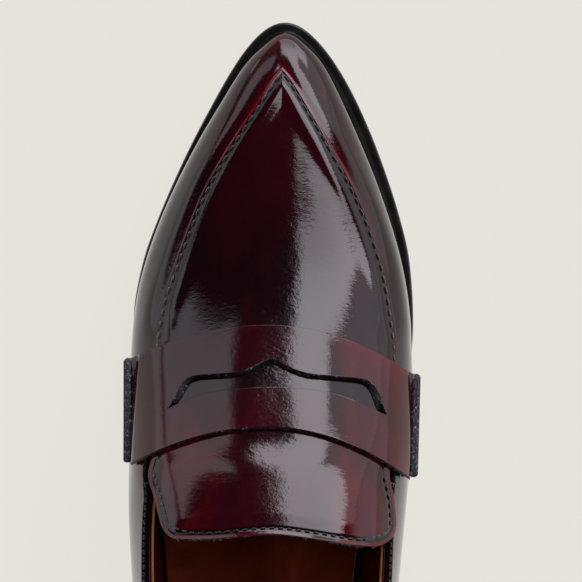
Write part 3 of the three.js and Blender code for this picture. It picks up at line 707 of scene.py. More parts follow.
def lining_leather(name, deep, plain, rubbed):
    paint = Paint(name, IOR=1.45)
    shade = paint.noise(45, 4, 0.6, 0.4)
    pores = paint.noise(2300, 3, 0.6)
    # Its brightest stop is rubbed lining leather, and also painted light where a tint lifts it.
    paint.color(paint.math("ADD", shade, paint.tint()), (0.3, deep), (0.5, plain), (0.72, rubbed))
    paint.roughness(paint.scaled(shade, 0.2, 0.45))
    paint.bump((pores, 0.03), (shade, 0.06))
    return paint.material


def sole_finish(name, level, gloss):
    """Black sole and heel finish, with faint dust and scuffs."""
    paint = Paint(name, IOR=1.5)
    dust = paint.noise(130, 4, 0.65)
    grit = paint.noise(2400, 3, 0.6)
    clean = srgb(level, level + 1, level + 1)
    dusty = srgb(level + 16, level + 16, level + 17)
    paint.color(dust, (0.35, clean), (0.8, dusty))
    paint.roughness(paint.scaled(dust, 0.18, gloss))
    paint.bump((grit, 0.02), (dust, 0.03))
    return paint.material


def plain_stock(name, first, second, scale, rough, depth):
    """Board, cork or felt: two mixed tones and a matt, uneven surface."""
    paint = Paint(name)
    flecks = paint.noise(scale, 4, 0.7)
    paint.color(flecks, (0.38, first), (0.62, second))
    paint.roughness(paint.scaled(flecks, 0.15, rough))
    paint.bump((flecks, depth))
    return paint.material


def rolled_steel(name):
    paint = Paint(name, Metallic=1.0)
    lines = paint.noise(300, 3, 0.6, 0.0, (6, 0.3, 1))
    paint.color(lines, (0.3, srgb(120, 122, 124)), (0.7, srgb(168, 170, 172)))
    paint.roughness(paint.scaled(lines, 0.25, 0.25))
    paint.bump((lines, 0.02))
    return paint.material


BURGUNDY = polished_leather(
    "burgundy_polished", srgb(16, 1, 5), srgb(38, 2, 8), srgb(84, 2, 16), 0.34, 0.78, 1.0
)
STRAP_RED = polished_leather(
    "strap_polished", srgb(20, 2, 6), srgb(38, 2, 10), srgb(76, 3, 18), 0.3, 0.76, 0.9
)
RAW_EDGE = raw_edge("raw_black_edge")
BLACK_THREAD = thread("black_thread", srgb(3, 4, 5), srgb(15, 17, 22))
SEAM_THREAD = thread("seam_thread", srgb(10, 10, 14), srgb(58, 60, 74))
LINING_BROWN = lining_leather("brown_lining", srgb(66, 15, 6), srgb(92, 27, 9), srgb(122, 48, 20))
LINING_EDGE = lining_leather("tan_lining_edge", srgb(96, 48, 26), srgb(140, 84, 54), srgb(170, 116, 82))
SOLE_BLACK = sole_finish("sole_black", 12, 0.22)
HEEL_BLACK = sole_finish("heel_black", 10, 0.16)
TREAD_RUBBER = sole_finish("tread_rubber", 20, 0.55)
CORK = plain_stock("ground_cork", srgb(112, 74, 42), srgb(170, 126, 82), 900, 0.75, 0.2)
BOARD_STOCK = plain_stock("fibre_board", srgb(132, 110, 82), srgb(168, 146, 112), 1600, 0.75, 0.1)
FELT_STOCK = plain_stock("stiff_felt", srgb(160, 148, 124), srgb(196, 184, 160), 2400, 0.8, 0.12)
STEEL = rolled_steel("rolled_steel")


# ---------------------------------------------------------------- pieces of the upper
PLUG_APEX_Y = PLUG_PLAN[0][0] * GRADE
PLUG_REAR_Y = 16
VAMP_MARGIN = 5
SEWN_MARGIN = 1.3
# Half the gap left at the heel between the two quarters, as a turn along the form.
BACK_SEAM_TURN = 0.0018
# The share of a wall's columns that lie under the form's widest line.
BELOW_WIDEST = 0.25


def plug_x(side, y):
    return np.where(side < 0, plug_lateral(y), plug_medial(y))


def plug_edge(side, count, low_y):
    """The plug's outline in plan on one side, from its apex to the strap."""
    t = np.linspace(0, 1, count)
    y = mix(PLUG_APEX_Y, low_y, t**1.7)
    return np.stack([plug_x(side, y), y], axis=-1)


PLUG_OUTLINE = np.concatenate([plug_edge(-1, 500, 4), plug_edge(1, 500, 4)])


def across_grid(rows, left, right, columns, lift, squeeze):
    """Points over the form at rows of y, from the x of one edge to the x of the other."""
    y = rows[:, None] * np.ones(columns)
    share = spread(columns, squeeze)[None, :]
    x = mix(left(rows)[:, None], right(rows)[:, None], share)
    return point_above(x, y, lift(x, y))


def seam_profile(d):
    """Height of the plug's leather by its distance from its edge: margin, sewn groove, puff."""
    margin = -0.25 * hump(d, 0.9)
    groove = -0.38 * hump(d - SEWN_MARGIN, 0.5)
    puff = 0.42 * hump(d - 3.8, 2.1)
    return margin + groove + puff


def ahead_of_strap(y):
    """1 in front of the strap and 0 under it, where the leather lies flat."""
    return ease((y - STRAP_FRONT_Y + 6) / 8)


def plug_lift(x, y):
    points = np.stack([x, y], axis=-1)
    d = distance_to(points, PLUG_OUTLINE)
    return PLUG_LIFT + seam_profile(d) * ahead_of_strap(y)


def build_plug():
    rows = PLUG_APEX_Y - (PLUG_APEX_Y - PLUG_REAR_Y) * np.linspace(0, 1, 190) ** 1.35
    rows = np.concatenate([[PLUG_APEX_Y - 0.02], rows[1:]])
    grid = across_grid(rows, plug_lateral, plug_medial, 96, plug_lift, 0.5)
    plug = shell("plug_leather", grid, 1.0, [BURGUNDY, RAW_EDGE], 0.3)
    co = coordinates_of(plug)
    d = distance_to(co, PLUG_OUTLINE)
    red = 0.34 * hump(d - 0.3, 0.75)
    crease = 0.1 * patch(co, -13, 78, 9, 24)
    dark = -0.14 * patch(co, -24, 60, 10, 30)
    # Painted shade in the sewn groove round the plug: the leather darker along the stitches.
    groove = -0.35 * hump(d - SEWN_MARGIN - 0.3, 1.1)
    tint(plug, red + crease + dark + groove - 0.1)
    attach(plug, "shoe")
    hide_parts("plug")


def vamp_lift(points):
    """The vamp's leather dips under the plug's edge and swells a little outside it."""
    d = distance_to(points, PLUG_OUTLINE)
    toe_fade = 1 - 0.85 * ease((points[..., 1] - 96) / 20)
    swelling = 0.42 * toe_fade * hump(d - 3.4, 1.9) - 0.12 * hump(d, 1.0)
    return swelling * ahead_of_strap(points[..., 1])


def vamp_grid(rows, columns):
    """The vamp from one feather line to the other, its columns gathered at the plug's seam."""
    turn = np.linspace(0, 1, rows) ** 1.05 * float(turn_at(VAMP_REAR_Y))
    y = y_at(turn)
    seam_end = PLUG_APEX_Y - 0.3
    low = np.linspace(-1, 0, columns // 4, endpoint=False)
    halves = []
    for side in (-1, 1):
        _, plug_climb = side_and_climb(plug_x(side, np.minimum(y, seam_end)), y)
        seam = np.where(y > seam_end, 1.0, plug_climb)[:, None]
        wall = np.linspace(0, 1, columns) * seam
        inner = mix(seam, 1, np.linspace(0, 1, columns // 3)[1:])
        halves.append(np.concatenate([np.broadcast_to(low, (rows, len(low))), wall, inner], axis=1))
    lateral = halves[0]
    medial = halves[1][:, ::-1][:, 1:]
    climb = np.concatenate([lateral, medial], axis=1)
    sides = np.concatenate([np.full(lateral.shape[1], -1.0), np.full(medial.shape[1], 1.0)])
    base = form_point(turn[:, None], sides, climb)
    return lifted(turn[:, None], sides, climb, vamp_lift(base))


def build_vamp():
    grid = vamp_grid(150, 44)
    hidden = plug_interior(grid)
    vamp = shell("vamp_leather", grid, 1.2, [BURGUNDY, RAW_EDGE], 0.25, lambda i, j: not hidden[i, j])
    co = coordinates_of(vamp)
    d = distance_to(co, PLUG_OUTLINE)
    low = 0.02 * ease((26 - co[:, 2]) / 18)
    tip = 0.08 * ease((co[:, 1] - 128) / 10)
    tint(vamp, low + tip + 0.14 * hump(d, 1.5) - 0.13)
    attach(vamp, "shoe")
    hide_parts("vamp")


def plug_interior(grid):
    """Grid cells that lie well inside the plug's outline, where the vamp is cut away."""
    inside = np.zeros(grid.shape[:2], bool)
    x = grid[..., 0]
    y = grid[..., 1]
    clear = (y < PLUG_APEX_Y - 3 * VAMP_MARGIN) & (x > plug_lateral(y) + VAMP_MARGIN)
    clear &= x < plug_medial(y) - VAMP_MARGIN
    inside[:-1, :-1] = clear[:-1, :-1] & clear[1:, 1:] & clear[1:, :-1] & clear[:-1, 1:]
    return inside


def topline_climb(y):
    return climb_at_height(y, topline_z(y))


def wall_climb(share, top):
    """Climbs up a wall from the feather line to its top. The first quarter is under the widest line."""
    below = np.minimum(share / BELOW_WIDEST - 1, 0)
    above = top * np.maximum(share - BELOW_WIDEST, 0) / (1 - BELOW_WIDEST)
    return np.where(share < BELOW_WIDEST, below, above)


def wall_grid(turns, side, low, high, columns, lift):
    """A side wall between two climbs, each a function of y. Rows run along the shoe."""
    y = y_at(np.where(turns > 1, 2 - turns, turns))
    bottom = low(y)[:, None]
    top = high(y)[:, None]
    share = np.linspace(0, 1, columns)
    climb = np.where(bottom <= -1, wall_climb(share, top), mix(bottom, top, share))
    return leaned_in(lifted(turns[:, None], side, climb, lift))


def feather(y):
    return np.full_like(y, -1.0)


def leaned_in(points):
    """Draws the quarters' tops in over the foot, behind the strap and in front of the heel."""
    x = points[..., 0]
    y = points[..., 1]
    along = ease((3 - y) / 12) * ease((y + 118) / 50)
    reach = np.where(x < 0, 1.9, 1.2) * ease((points[..., 2] - 34) / 24) * along
    out = points.copy()
    out[..., 0] -= np.sign(x) * reach
    return out


def build_quarter(side, word):
    turns = np.linspace(float(turn_at(VAMP_REAR_Y - GAP)), 1 - BACK_SEAM_TURN, 130)
    grid = wall_grid(turns, side, feather, topline_climb, 50, 0.0)
    quarter = shell(f"quarter_leather_{word}", grid, 1.2, [BURGUNDY, RAW_EDGE], 0.35)
    co = coordinates_of(quarter)
    tint(quarter, 0.08 * ease((co[:, 1] + 10) / 20) - 0.02)
    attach(quarter, "shoe")
    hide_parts(f"quarter_{word}")


def build_quarter_lining(side, word):
    turns = np.linspace(float(turn_at(3 - GAP)), 1 - BACK_SEAM_TURN, 110)
    grid = wall_grid(turns, side, feather, topline_climb, 40, -LINING_DEPTH)
    lining = shell(f"quarter_lining_piece_{word}", grid, LINING, [LINING_BROWN, LINING_EDGE], 0.25)
    co = coordinates_of(lining)
    rim = topline_z(co[:, 1]) - co[:, 2]
    # Painted light along the lining's top edge and painted shade deeper down inside the shoe.
    tint(lining, 0.25 * hump(rim, 2) - 0.15 * ease(rim / 40))
    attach(lining, "shoe")
    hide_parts(f"quarter_lining_{word}")


def build_vamp_lining():
    turns = np.linspace(0, 1, 90) * float(turn_at(3))
    across = np.linspace(-1, 1, 101)
    side = np.where(across < 0, -1.0, 1.0)
    climb = wall_climb(1 - np.abs(across), 1)
    grid = lifted(turns[:, None], side, climb, -LINING_DEPTH)
    lining = shell("vamp_lining_piece", grid, LINING, [LINING_BROWN, LINING_EDGE], 0.25)
    tint(lining, -0.05)
    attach(lining, "shoe")
    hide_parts("vamp_lining")


# ---------------------------------------------------------------- saddle strap, side seams and tabs
# The slot's edges in plan: x, y.
SLOT_FRONT = [
    (-31.6, 20), (-28.6, 26), (-26.4, 29), (-22.5, 30.3), (-15, 30.8), (-9.5, 31.4),
    (-4.5, 33.5), (0.4, 35.3), (4, 33.7), (7.5, 32), (12, 30.8), (20.6, 30), (28.5, 29.1),
    (31.6, 27.5), (34, 23.4), (35.6, 18),
]
SLOT_REAR = [
    (-31.6, 20), (-27.2, 22.3), (-19.2, 24.9), (-10, 26.1), (1, 26.7), (11.4, 26), (20.6, 24.3), (35.6, 18),
]
SLOT_SPREAD = 1.08
SLOT_FRONT_SLANT = 1.25
STRAP_REAR_SLANT = 0.9
slot_front = Curve(*zip(*SLOT_FRONT), 0.004)
slot_rear = Curve(*zip(*SLOT_REAR), 0.004)
SLOT_LEFT = SLOT_FRONT[0][0]
SLOT_RIGHT = SLOT_FRONT[-1][0]


def parabola(middle, fall, x):
    side = np.where(x < STRAP_MIDDLE_X, fall[0], fall[1])
    return middle - side * ((x - STRAP_MIDDLE_X) / STRAP_HALF_SPAN) ** 2


def strap_front(x):
    return parabola(STRAP_FRONT_Y, FRONT_FALL, x)


def strap_rear(x):
    return parabola(STRAP_REAR_Y, REAR_FALL, x)


def along_seam(y):
    """0 at a side seam's rear end and 1 at its front end."""
    return (y - SEAM_REAR[0]) / (SEAM_FRONT[0] - SEAM_REAR[0])


def seam_z(y):
    return mix(SEAM_REAR[1], SEAM_FRONT[1], along_seam(y))


def seam_climb(y):
    return climb_at_height(y, seam_z(y))


def edge_climb(side, y):
    """The climb at the plug's edge."""
    reach = np.clip((plug_x(side, y) - centre_x(y)) / (form_x(side, y) - centre_x(y)), 0, 1)
    return np.arccos(reach ** (squareness(y) / 2)) * 2 / math.pi


def strap_point(y_of, across, thickness):
    """Points across the strap whose y, seen from above, is a function of their x."""
    side = np.where(across < 0, -1.0, 1.0)
    x = STRAP_HALF_SPAN * across
    y = y_of(x)
    point = None
    for _ in range(14):
        climb = mix(1, seam_climb(y), np.abs(across))
        share = (climb - seam_climb(y)) / (edge_climb(side, y) - seam_climb(y))
        level = mix(STRAP_SIDE_LIFT, STRAP_LIFT, ease(share / 0.62)) - thickness
        point = lifted(turn_at(y), side, climb, level)
        flare = np.maximum(1 - share / 0.3, 0) ** 2
        point[..., 0] += flare * (seam_x(side, point[..., 1]) - side * 1.2 - point[..., 0])
        y = y + y_of(point[..., 0]) - point[..., 1]
    return point


def seam_x(side, y):
    """The middle of a side seam's turned-out edge, in plan."""
    return np.where(side < 0, -44.5, mix(44.3, 45.3, along_seam(y)))


def slot_middle(x):
    """The line that parts the strap's front and rear rows, through the slot and beyond its tips."""
    inside = np.clip(x, SLOT_LEFT, SLOT_RIGHT)
    ends = mix(slot_rear(SLOT_LEFT), slot_rear(SLOT_RIGHT), (x - SLOT_LEFT) / (SLOT_RIGHT - SLOT_LEFT))
    blend = ease(np.minimum(inside - SLOT_LEFT, SLOT_RIGHT - inside) / 6)
    half = mix(strap_rear(x), strap_front(x), 0.52)
    outside = np.maximum(SLOT_LEFT - x, x - SLOT_RIGHT)
    return mix(ends, half, ease(outside / 9)) * (1 - blend) + slot_rear(inside) * blend


def slot_low(x):
    inside = (x > SLOT_LEFT) & (x < SLOT_RIGHT)
    return np.where(inside, slot_rear(x), slot_middle(x))


def slot_high(slant, spread_out):
    """The slot's front edge, or under the leather that edge drawn in by the slanted cut."""

    def edge(x):
        inside = (x > SLOT_LEFT) & (x < SLOT_RIGHT)
        middle = (SLOT_LEFT + SLOT_RIGHT) / 2
        wide = np.clip(middle + (x - middle) * spread_out, SLOT_LEFT, SLOT_RIGHT)
        open_by = slot_front(wide) - slot_rear(wide)
        drawn = open_by - slant * ease(open_by / 3)
        return np.where(inside, slot_rear(x) + np.maximum(drawn, 0), slot_middle(x))

    return edge


def strap_columns():
    """Places across the strap, with one exactly at each of the slot's tips."""
    across = np.linspace(-1, 1, 221)
    x = strap_point(slot_low, across, 0)[..., 0]
    for tip in (SLOT_LEFT, SLOT_RIGHT):
        near = np.interp(tip, x, across)
        across[np.argmin(np.abs(across - near))] = near
    return across


def strap_rows(across, low, high, thickness):
    """Rows of points across the strap, from one edge to another, at a depth under its face."""
    shares = np.concatenate([[0, 0.012], np.linspace(0.04, 0.96, 26), [0.985, 1]])
    rows = [strap_point(lambda x, s=s: mix(low(x), high(x), s), across, thickness) for s in shares]
    return np.stack(rows)


def strap_halves():
    """The top and bottom points of the strap in front of its slot, and of the strap behind it."""
    across = strap_columns()
    front = (
        strap_rows(across, slot_high(0, 1), strap_front, 0),
        strap_rows(across, slot_high(SLOT_FRONT_SLANT, SLOT_SPREAD), strap_front, STRAP),
    )
    rear = (
        strap_rows(across, strap_rear, slot_low, 0),
        strap_rows(across, lambda x: strap_rear(x) - STRAP_REAR_SLANT, slot_low, STRAP),
    )
    return front, rear


def build_strap():
    parts = strap_halves()
    open_slot = np.abs(parts[0][0][0] - parts[1][0][-1]).max(axis=1) > 0.02
    points = []
    faces = []
    kinds = []

    def add(face, kind):
        faces.append(face)
        kinds.append(kind)

    for part, (top, bottom) in enumerate(parts):
        count, columns = top.shape[:2]
        base = len(points)
        low = base + count * columns
        points.extend(top.reshape(-1, 3))
        points.extend(bottom.reshape(-1, 3))
        for quad in grid_faces(count, columns):
            add(tuple(base + v for v in quad), 0)
            add(tuple(low + v for v in reversed(quad)), 0)
        for i in range(count - 1):
            for j in (0, columns - 1):
                a = i * columns + j
                add((base + a, base + a + columns, low + a + columns, low + a), 1)
        for i in (0, count - 1):
            slot_row = i == (0 if part == 0 else count - 1)
            for j in range(columns - 1):
                if slot_row and not (open_slot[j] or open_slot[j + 1]):
                    continue
                a = i * columns + j
                add((base + a, low + a, low + a + 1, base + a + 1), 1)
    mesh = raw_mesh("saddle_strap_leather", np.array(points), faces, kinds, outward=True)
    strap = link(mesh, "saddle_strap_leather")
    mesh.materials.append(STRAP_RED)
    mesh.materials.append(RAW_EDGE)
    round_edges(strap, 0.24, STRAP_CORNER)
    x, y, _ = coordinates_of(strap).T
    middle_glow = (0.02 + 0.14 * ease((32 - y) / 10)) * hump(x + 4, 8)
    medial_glow = 0.2 * ease((x - 17) / 8)
    rim = 0.1 * hump(strap_front(x) - y, 1.2)
    tint(strap, middle_glow + medial_glow + rim)
    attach(strap, "shoe")
    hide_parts("saddle_strap")


def seam_line(side, count):
    """The line of a side seam, from rear to front, at the strap's outer face."""
    across = np.array([float(side)])
    spots = []
    for share in np.linspace(0, 1, count):
        spots.append(strap_point(lambda x, s=share: mix(strap_rear(x), strap_front(x), s), across, 0)[0])
    line = np.array(spots)
    line[:, 0] = seam_x(side, line[:, 1])
    line[:, 2] = seam_z(line[:, 1])
    return line


def rounded_section(width, height, radius):
    """A rectangle with round corners, about its middle."""
    steps = 4
    points = []
    for cx, cy, start in ((1, 1, 0), (-1, 1, 90), (-1, -1, 180), (1, -1, 270)):
        for k in range(steps + 1):
            angle = math.radians(start + 90 * k / steps)
            x = cx * (width / 2 - radius) + radius * math.cos(angle)
            y = cy * (height / 2 - radius) + radius * math.sin(angle)
            points.append((x, y))
    return np.array(points)


def build_side_seam(side, word):
    """The strap's and tab's edges turned out and sewn together, their raw edges inked black."""
    line = seam_line(side, 90)
    lengths = arc_lengths(line)
    near_end = np.maximum(np.abs(2 * lengths / lengths[-1] - 1) - 0.93, 0) / 0.07
    close = np.sqrt(np.clip(1 - near_end**2, 0.02, 1))[:, None]
    section = rounded_section(2.5, 2.2, 0.5)
    rings = np.repeat(line[:, None], len(section), axis=1)
    rings[..., 0] += section[:, 0] * close
    rings[..., 2] += section[:, 1] * close - 0.1
    seam = swept(f"side_seam_edge_{word}", rings, RAW_EDGE)
    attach(seam, "shoe")
    up = np.tile([0.0, 0.0, 1.0], (len(line), 1))[4:-4]
    for row, offset in enumerate((-0.5, 0.5)):
        path = (line + np.array([side * offset, 0, 1.0]))[4:-4]
        name = f"side_seam_thread_{word}_{row + 1}"
        sewn = stitches(name, path, up, SEAM_THREAD, 3.0, 1.9, 0.17, 0.05)
        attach(sewn, "shoe")


def build_side_tab(side, word):
    turns = np.sort(turn_at(seam_line(side, 40)[:, 1]))

    def under_seam(y):
        return climb_at_height(y, seam_z(y) - 1.3)

    grid = wall_grid(turns, side, feather, under_seam, 30, 1.8)
    tab = shell(f"side_tab_leather_{word}", grid, 1.5, [STRAP_RED, RAW_EDGE], 0.35)
    tint(tab, 0.05)
    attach(tab, "shoe")
    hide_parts(f"side_tab_{word}")


# ---------------------------------------------------------------- tongue
TONGUE_SIDES = [
    (16, -35.2, 36.2), (6, -36.6, 36.6), (0, -38, 36.8), (-6, -36.4, 38.2), (-13, -34.5, 38.8),
    (-17, -33.5, 37.6), (-19, -33.2, 36),
]
TONGUE_END = [(-36, -20), (-21, -20.1), (0.4, -18.5), (14, -20), (25.3, -21.9), (38, -22.8)]
tongue_left = column(TONGUE_SIDES, 1, softness=0.01)
tongue_right = column(TONGUE_SIDES, 2, softness=0.01)
tongue_end = Curve(*zip(*TONGUE_END), 0.02)
TONGUE_TOP = PLUG_LIFT + 0.1
TONGUE_SEAM = 1.8
TONGUE_TILT = 0.024
TONGUE_TILT_START_Y = 6


def tongue_place(u, v, inset):
    """A point in plan: u runs across from left to right, and v from under the strap to the end."""
    y_side = mix(TONGUE_FRONT_Y, TONGUE_END_Y, v)
    left = tongue_left(y_side) + inset
    right = tongue_right(y_side) - inset
    near_end = (1 - v) * (TONGUE_FRONT_Y - TONGUE_END_Y)
    corner = np.clip(1 - near_end / TONGUE_CORNER, 0, 1)
    rounding = TONGUE_CORNER * (1 - np.sqrt(1 - corner**2)) * 0.8
    x = mix(left + rounding, right - rounding, u)
    y = mix(TONGUE_FRONT_Y, tongue_end(x) + inset, v)
    return x, y


def tongue_point(x, y, lift):
    """A point of the tongue at x, y: on the form in front, and resting on the topline behind."""
    point = point_above(x, y, lift)
    rest = topline_z(y) + 3 * GAP + 1.2 + LINING + lift
    behind = ease((THROAT_Y + 3 - y) / 4)
    point[..., 2] = mix(point[..., 2], np.maximum(point[..., 2], rest), behind)
    bowed = 0.9 * hump(x + 6, 20) * ease((12 - y) / 12)
    point[..., 2] += TONGUE_TILT * np.maximum(TONGUE_TILT_START_Y - y, 0) ** 1.3 + bowed
    return point


def tongue_border(inset):
    """The tongue's outline in plan: its two sides and its end."""
    along = np.linspace(0, 1, 300)
    left = tongue_place(np.zeros(300), along, inset)
    right = tongue_place(np.ones(300), along, inset)
    end = tongue_place(along, np.ones(300), inset)
    return np.concatenate([left, right, end], axis=1).T


def tongue_grid(rows, columns, inset, lift):
    """Points over the tongue. Lift gives their height over the form from their places in plan."""
    v = np.sin(np.linspace(0, 1, rows) * math.pi / 2)[:, None] * np.ones(columns)
    u = spread(columns, 0.6)[None, :] * np.ones((rows, 1))
    x, y = tongue_place(u, v, inset)
    return tongue_point(x, y, lift(x, y))


def tongue_lift(x, y):
    """A rolled rim, the sewn line a little inside it, and the padded middle."""
    d = distance_to(np.stack([x, y], axis=-1), tongue_border(0))
    rim = 0.12 * hump(d, 0.6)
    sewn = -0.3 * hump(d - TONGUE_SEAM, 0.5)
    padded = 0.25 * ease((d - TONGUE_SEAM) / 5)
    return TONGUE_TOP + (rim + sewn + padded) * ease((10 - y) / 8)


def tongue_seam():
    """The tongue's sewn line, with the ways that stand out of the leather along it."""
    sides = np.linspace(0.45, 0.955, 60)
    across = np.linspace(0.03, 0.97, 120)
    u = np.concatenate([np.zeros(60), across, np.ones(60)])
    v = np.concatenate([sides, np.ones(120), sides[::-1]])
    path = np.stack(tongue_place(u, v, TONGUE_SEAM), axis=-1)
    for _ in range(6):
        path[1:-1] = (path[:-2] + path[2:] + 2 * path[1:-1]) / 4
    x, y = path.T
    lift = np.full(len(x), PLUG_LIFT)
    step = 0.4
    along_x = tongue_point(x + step, y, lift) - tongue_point(x - step, y, lift)
    along_y = tongue_point(x, y + step, lift) - tongue_point(x, y - step, lift)
    return tongue_point(x, y, lift - 0.1), unit(np.cross(along_x, along_y))


def build_tongue():
    grid = tongue_grid(110, 120, 0, tongue_lift)
    tongue = shell("tongue_leather", grid, 1.1, [BURGUNDY, RAW_EDGE], 0.3)
    co = coordinates_of(tongue)
    d = distance_to(co, tongue_border(0))
    # Painted shade in the sewn groove a little inside the tongue's edge; the rim outside it a little
    # brighter.
    margin = 0.1 * hump(d - 0.5, 1.0) - 0.35 * hump(d - 1.9, 0.8)
    # Painted glow: redder towards the middle and towards the medial side.
    red = 0.03 * hump(co[:, 0] + 6, 6) + 0.16 * ease((co[:, 0] - 16) / 8)
    tint(tongue, margin + red)
    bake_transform(tongue)
    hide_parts("tongue_root", "tongue")

    grid = tongue_grid(60, 60, 1.0, lambda x, y: np.full_like(x, PLUG_LIFT - 1.15))
    behind_throat = grid[..., 1].mean(axis=1) < -0.5
    lining = shell("tongue_lining_piece", grid[behind_throat], 0.75, [LINING_BROWN, LINING_EDGE], 0.2)
    tint(lining, 0)
    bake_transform(lining)
    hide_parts("tongue_lining")

    line, out = tongue_seam()
    sewn = stitches("tongue_thread", line, out, BLACK_THREAD, 2.7, 1.9, 0.24, 0.02)
    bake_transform(sewn)


# ---------------------------------------------------------------- topline, back strip and seam threads
RIM_FRONT_Y = -2.5
RIM_COUNT = 420


def rim_path(lift, rise):
    """The topline from one side of the throat round the heel to the other, as points and outward ways."""
    front = float(turn_at(RIM_FRONT_Y))
    turns = np.linspace(front, 2 - front, RIM_COUNT)
    y = y_at(np.where(turns > 1, 2 - turns, turns))
    points = lifted(turns, -1, topline_climb(y), lift)
    points[:, 2] = topline_z(y)
    points = leaned_in(points)
    points[:, 2] += rise
    along = np.gradient(points, axis=0)
    along[:, 2] = 0
    along = unit(along)
    out = np.stack([-along[:, 1], along[:, 0], np.zeros(RIM_COUNT)], axis=1)
    return points, -out if out[0, 0] > 0 else out


def rim_solid(name, path, section, slope, material):
    """A band of one section along the topline, its outer side lower by the slope."""
    line, out = path
    rings = line[:, None] + out[:, None] * section[:, :1]
    rings[..., 2] += section[:, 1] - slope * section[:, 0]
    return swept(name, rings, material)


def build_topline():
    """A rolled binding over the upper's top edge, and the lining's own edge standing inside it."""
    section = rounded_section(2.9, 1.15, 0.5)
    path = rim_path(-1.15, 1.15)
    binding = rim_solid("topline_binding_leather", path, section, 0.08, BURGUNDY)
    tint(binding, -0.3)
    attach(binding, "shoe")
    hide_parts("topline_binding")

    section = rounded_section(0.75, 1.1, 0.3)
    rim = rim_solid("lining_rim", rim_path(-3.3, 0.85), section, 0, LINING_EDGE)
    tint(rim, 0)
    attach(rim, "shoe")

    line, out = rim_path(-0.55, 1.72)
    up = unit(np.array([0.0, 0.0, 1.0]) + 0.3 * out)
    sewn = stitches("topline_thread", line, up, BLACK_THREAD, 2.3, 1.7, 0.27, 0.0)
    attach(sewn, "shoe")


BACK_STRIP_HALF_WIDTH = 11
BACK_STRIP_BOTTOM_Z = 42


def build_back_strip():
    turns = np.linspace(float(turn_at(-130)), 1, 800)
    wide = np.abs(form_x(-1.0, y_at(turns)) - centre_x(y_at(turns)))
    first = turns[np.argmax(wide < BACK_STRIP_HALF_WIDTH)]
    rows = np.linspace(first, 2 - first, 60)

    def bottom(y):
        return climb_at_height(y, BACK_STRIP_BOTTOM_Z)

    grid = wall_grid(rows, -1, bottom, topline_climb, 40, 1.2)
    strip = shell("back_strip_leather", grid, 0.9, [BURGUNDY, RAW_EDGE], 0.25)
    tint(strip, 0.06)
    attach(strip, "shoe")
    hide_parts("back_strip")
    edges = [grid[3, 3:-2], grid[-4, 3:-2]]
    for number, edge in enumerate(edges):
        x, y, _ = edge.T
        out = unit(np.stack([x - centre_x(y), y + 100, np.zeros(len(edge))], axis=1))
        sewn = stitches(f"back_strip_thread_{number + 1}", edge, out, BLACK_THREAD, 2.6, 1.8, 0.22, 0.06)
        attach(sewn, "shoe")


def build_plug_stitches():
    """Hand-sewn stitches in the groove round the plug, down both sides from the toe."""
    count = 700
    for side, word in ((-1, "lateral"), (1, "medial")):
        edge = plug_edge(side, count, STRAP_FRONT_Y - 12)
        along = unit(np.gradient(edge, axis=0))
        inward = np.stack([along[:, 1], -along[:, 0]], axis=1)
        if inward[count // 2, 0] * side > 0:
            inward = -inward
        groove = edge + inward * SEWN_MARGIN
        groove = groove[(groove[:, 0] - PLUG_PLAN[0][1]) * side > 0.4]
        x, y = groove.T
        line = point_above(x, y, PLUG_LIFT + seam_profile(np.full(len(x), SEWN_MARGIN)))
        seam_side, climb = side_and_climb(line[:, 0], line[:, 1])
        out = form_normal(turn_at(line[:, 1]), seam_side, climb)
        sewn = stitches(f"plug_thread_{word}", line, out, BLACK_THREAD, 3.7, 2.7, 0.34, 0.04)
        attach(sewn, "shoe")


# ---------------------------------------------------------------- bottom
SOLE_TOE_Y = SOLE_PLAN[0][0] * GRADE
SOLE_HEEL_Y = SOLE_PLAN[-1][0] * GRADE


def sole_loop(count):
    """The outsole's outline as a closed loop in plan, from the toe down the lateral side."""
    y = y_at(np.linspace(0, 1, count), SOLE_TOE_Y, SOLE_HEEL_Y)
    lateral = np.stack([sole_lateral(y), y], axis=1)
    medial = np.stack([sole_medial(y), y], axis=1)[::-1]
    return np.concatenate([lateral, medial[1:-1]])


def drawn_in(loop, inset):
    """A closed loop moved inwards by a distance."""
    along = unit(np.roll(loop, -1, axis=0) - np.roll(loop, 1, axis=0))
    inward = np.stack([-along[:, 1], along[:, 0]], axis=1)
    if (inward * (loop.mean(axis=0) - loop)).sum() < 0:
        inward = -inward
    return loop + inward * inset


def heel_loop(count, inset):
    """The outline behind the heel's breast, moved inwards, with its points evenly spread."""
    whole = drawn_in(sole_loop(400), inset)
    front = HEEL_BREAST_Y - 0.5 * inset
    behind = whole[whole[:, 1] < front]
    path = np.concatenate([[[behind[0, 0], front]], behind, [[behind[-1, 0], front]]])
    lengths = arc_lengths(path)
    even = np.linspace(0, lengths[-1], count)
    return np.stack([np.interp(even, lengths, path[:, k]) for k in (0, 1)], axis=1)


def stacked(name, profile, loop_at, z_at, material, caps=True):
    """A solid through closed loops in plan. The profile has each loop's inset and its height's share."""
    rings = []
    for inset, share in profile:
        loop = loop_at(inset)
        rings.append(np.column_stack([loop, z_at(loop[:, 1], share)]))
    rings = np.array(rings)
    levels, count = rings.shape[:2]
    faces = ring_faces(levels, count, closed=not caps)
    if caps:
        for base, flip in ((0, True), ((levels - 1) * count, False)):
            for j in range(count // 2):
                corners = (j, j + 1, count - 2 - j, count - 1 - j)
                quad = tuple(dict.fromkeys(base + corner % count for corner in corners))
                if len(quad) > 2:
                    faces.append(quad[::-1] if flip else quad)
    mesh = raw_mesh(name, rings.reshape(-1, 3), faces, outward=True)
    mesh.materials.append(material)
    return link(mesh, name)


def rounded_levels(thickness, radius, steps=4):
    """Insets and heights up a rounded edge, from its underside to its top."""
    lower = []
    for k in range(steps + 1):
        angle = math.radians(90 * k / steps)
        lower.append((radius * (1 - math.sin(angle)), radius * (1 - math.cos(angle))))
    return lower + [(inset, thickness - height) for inset, height in reversed(lower)]


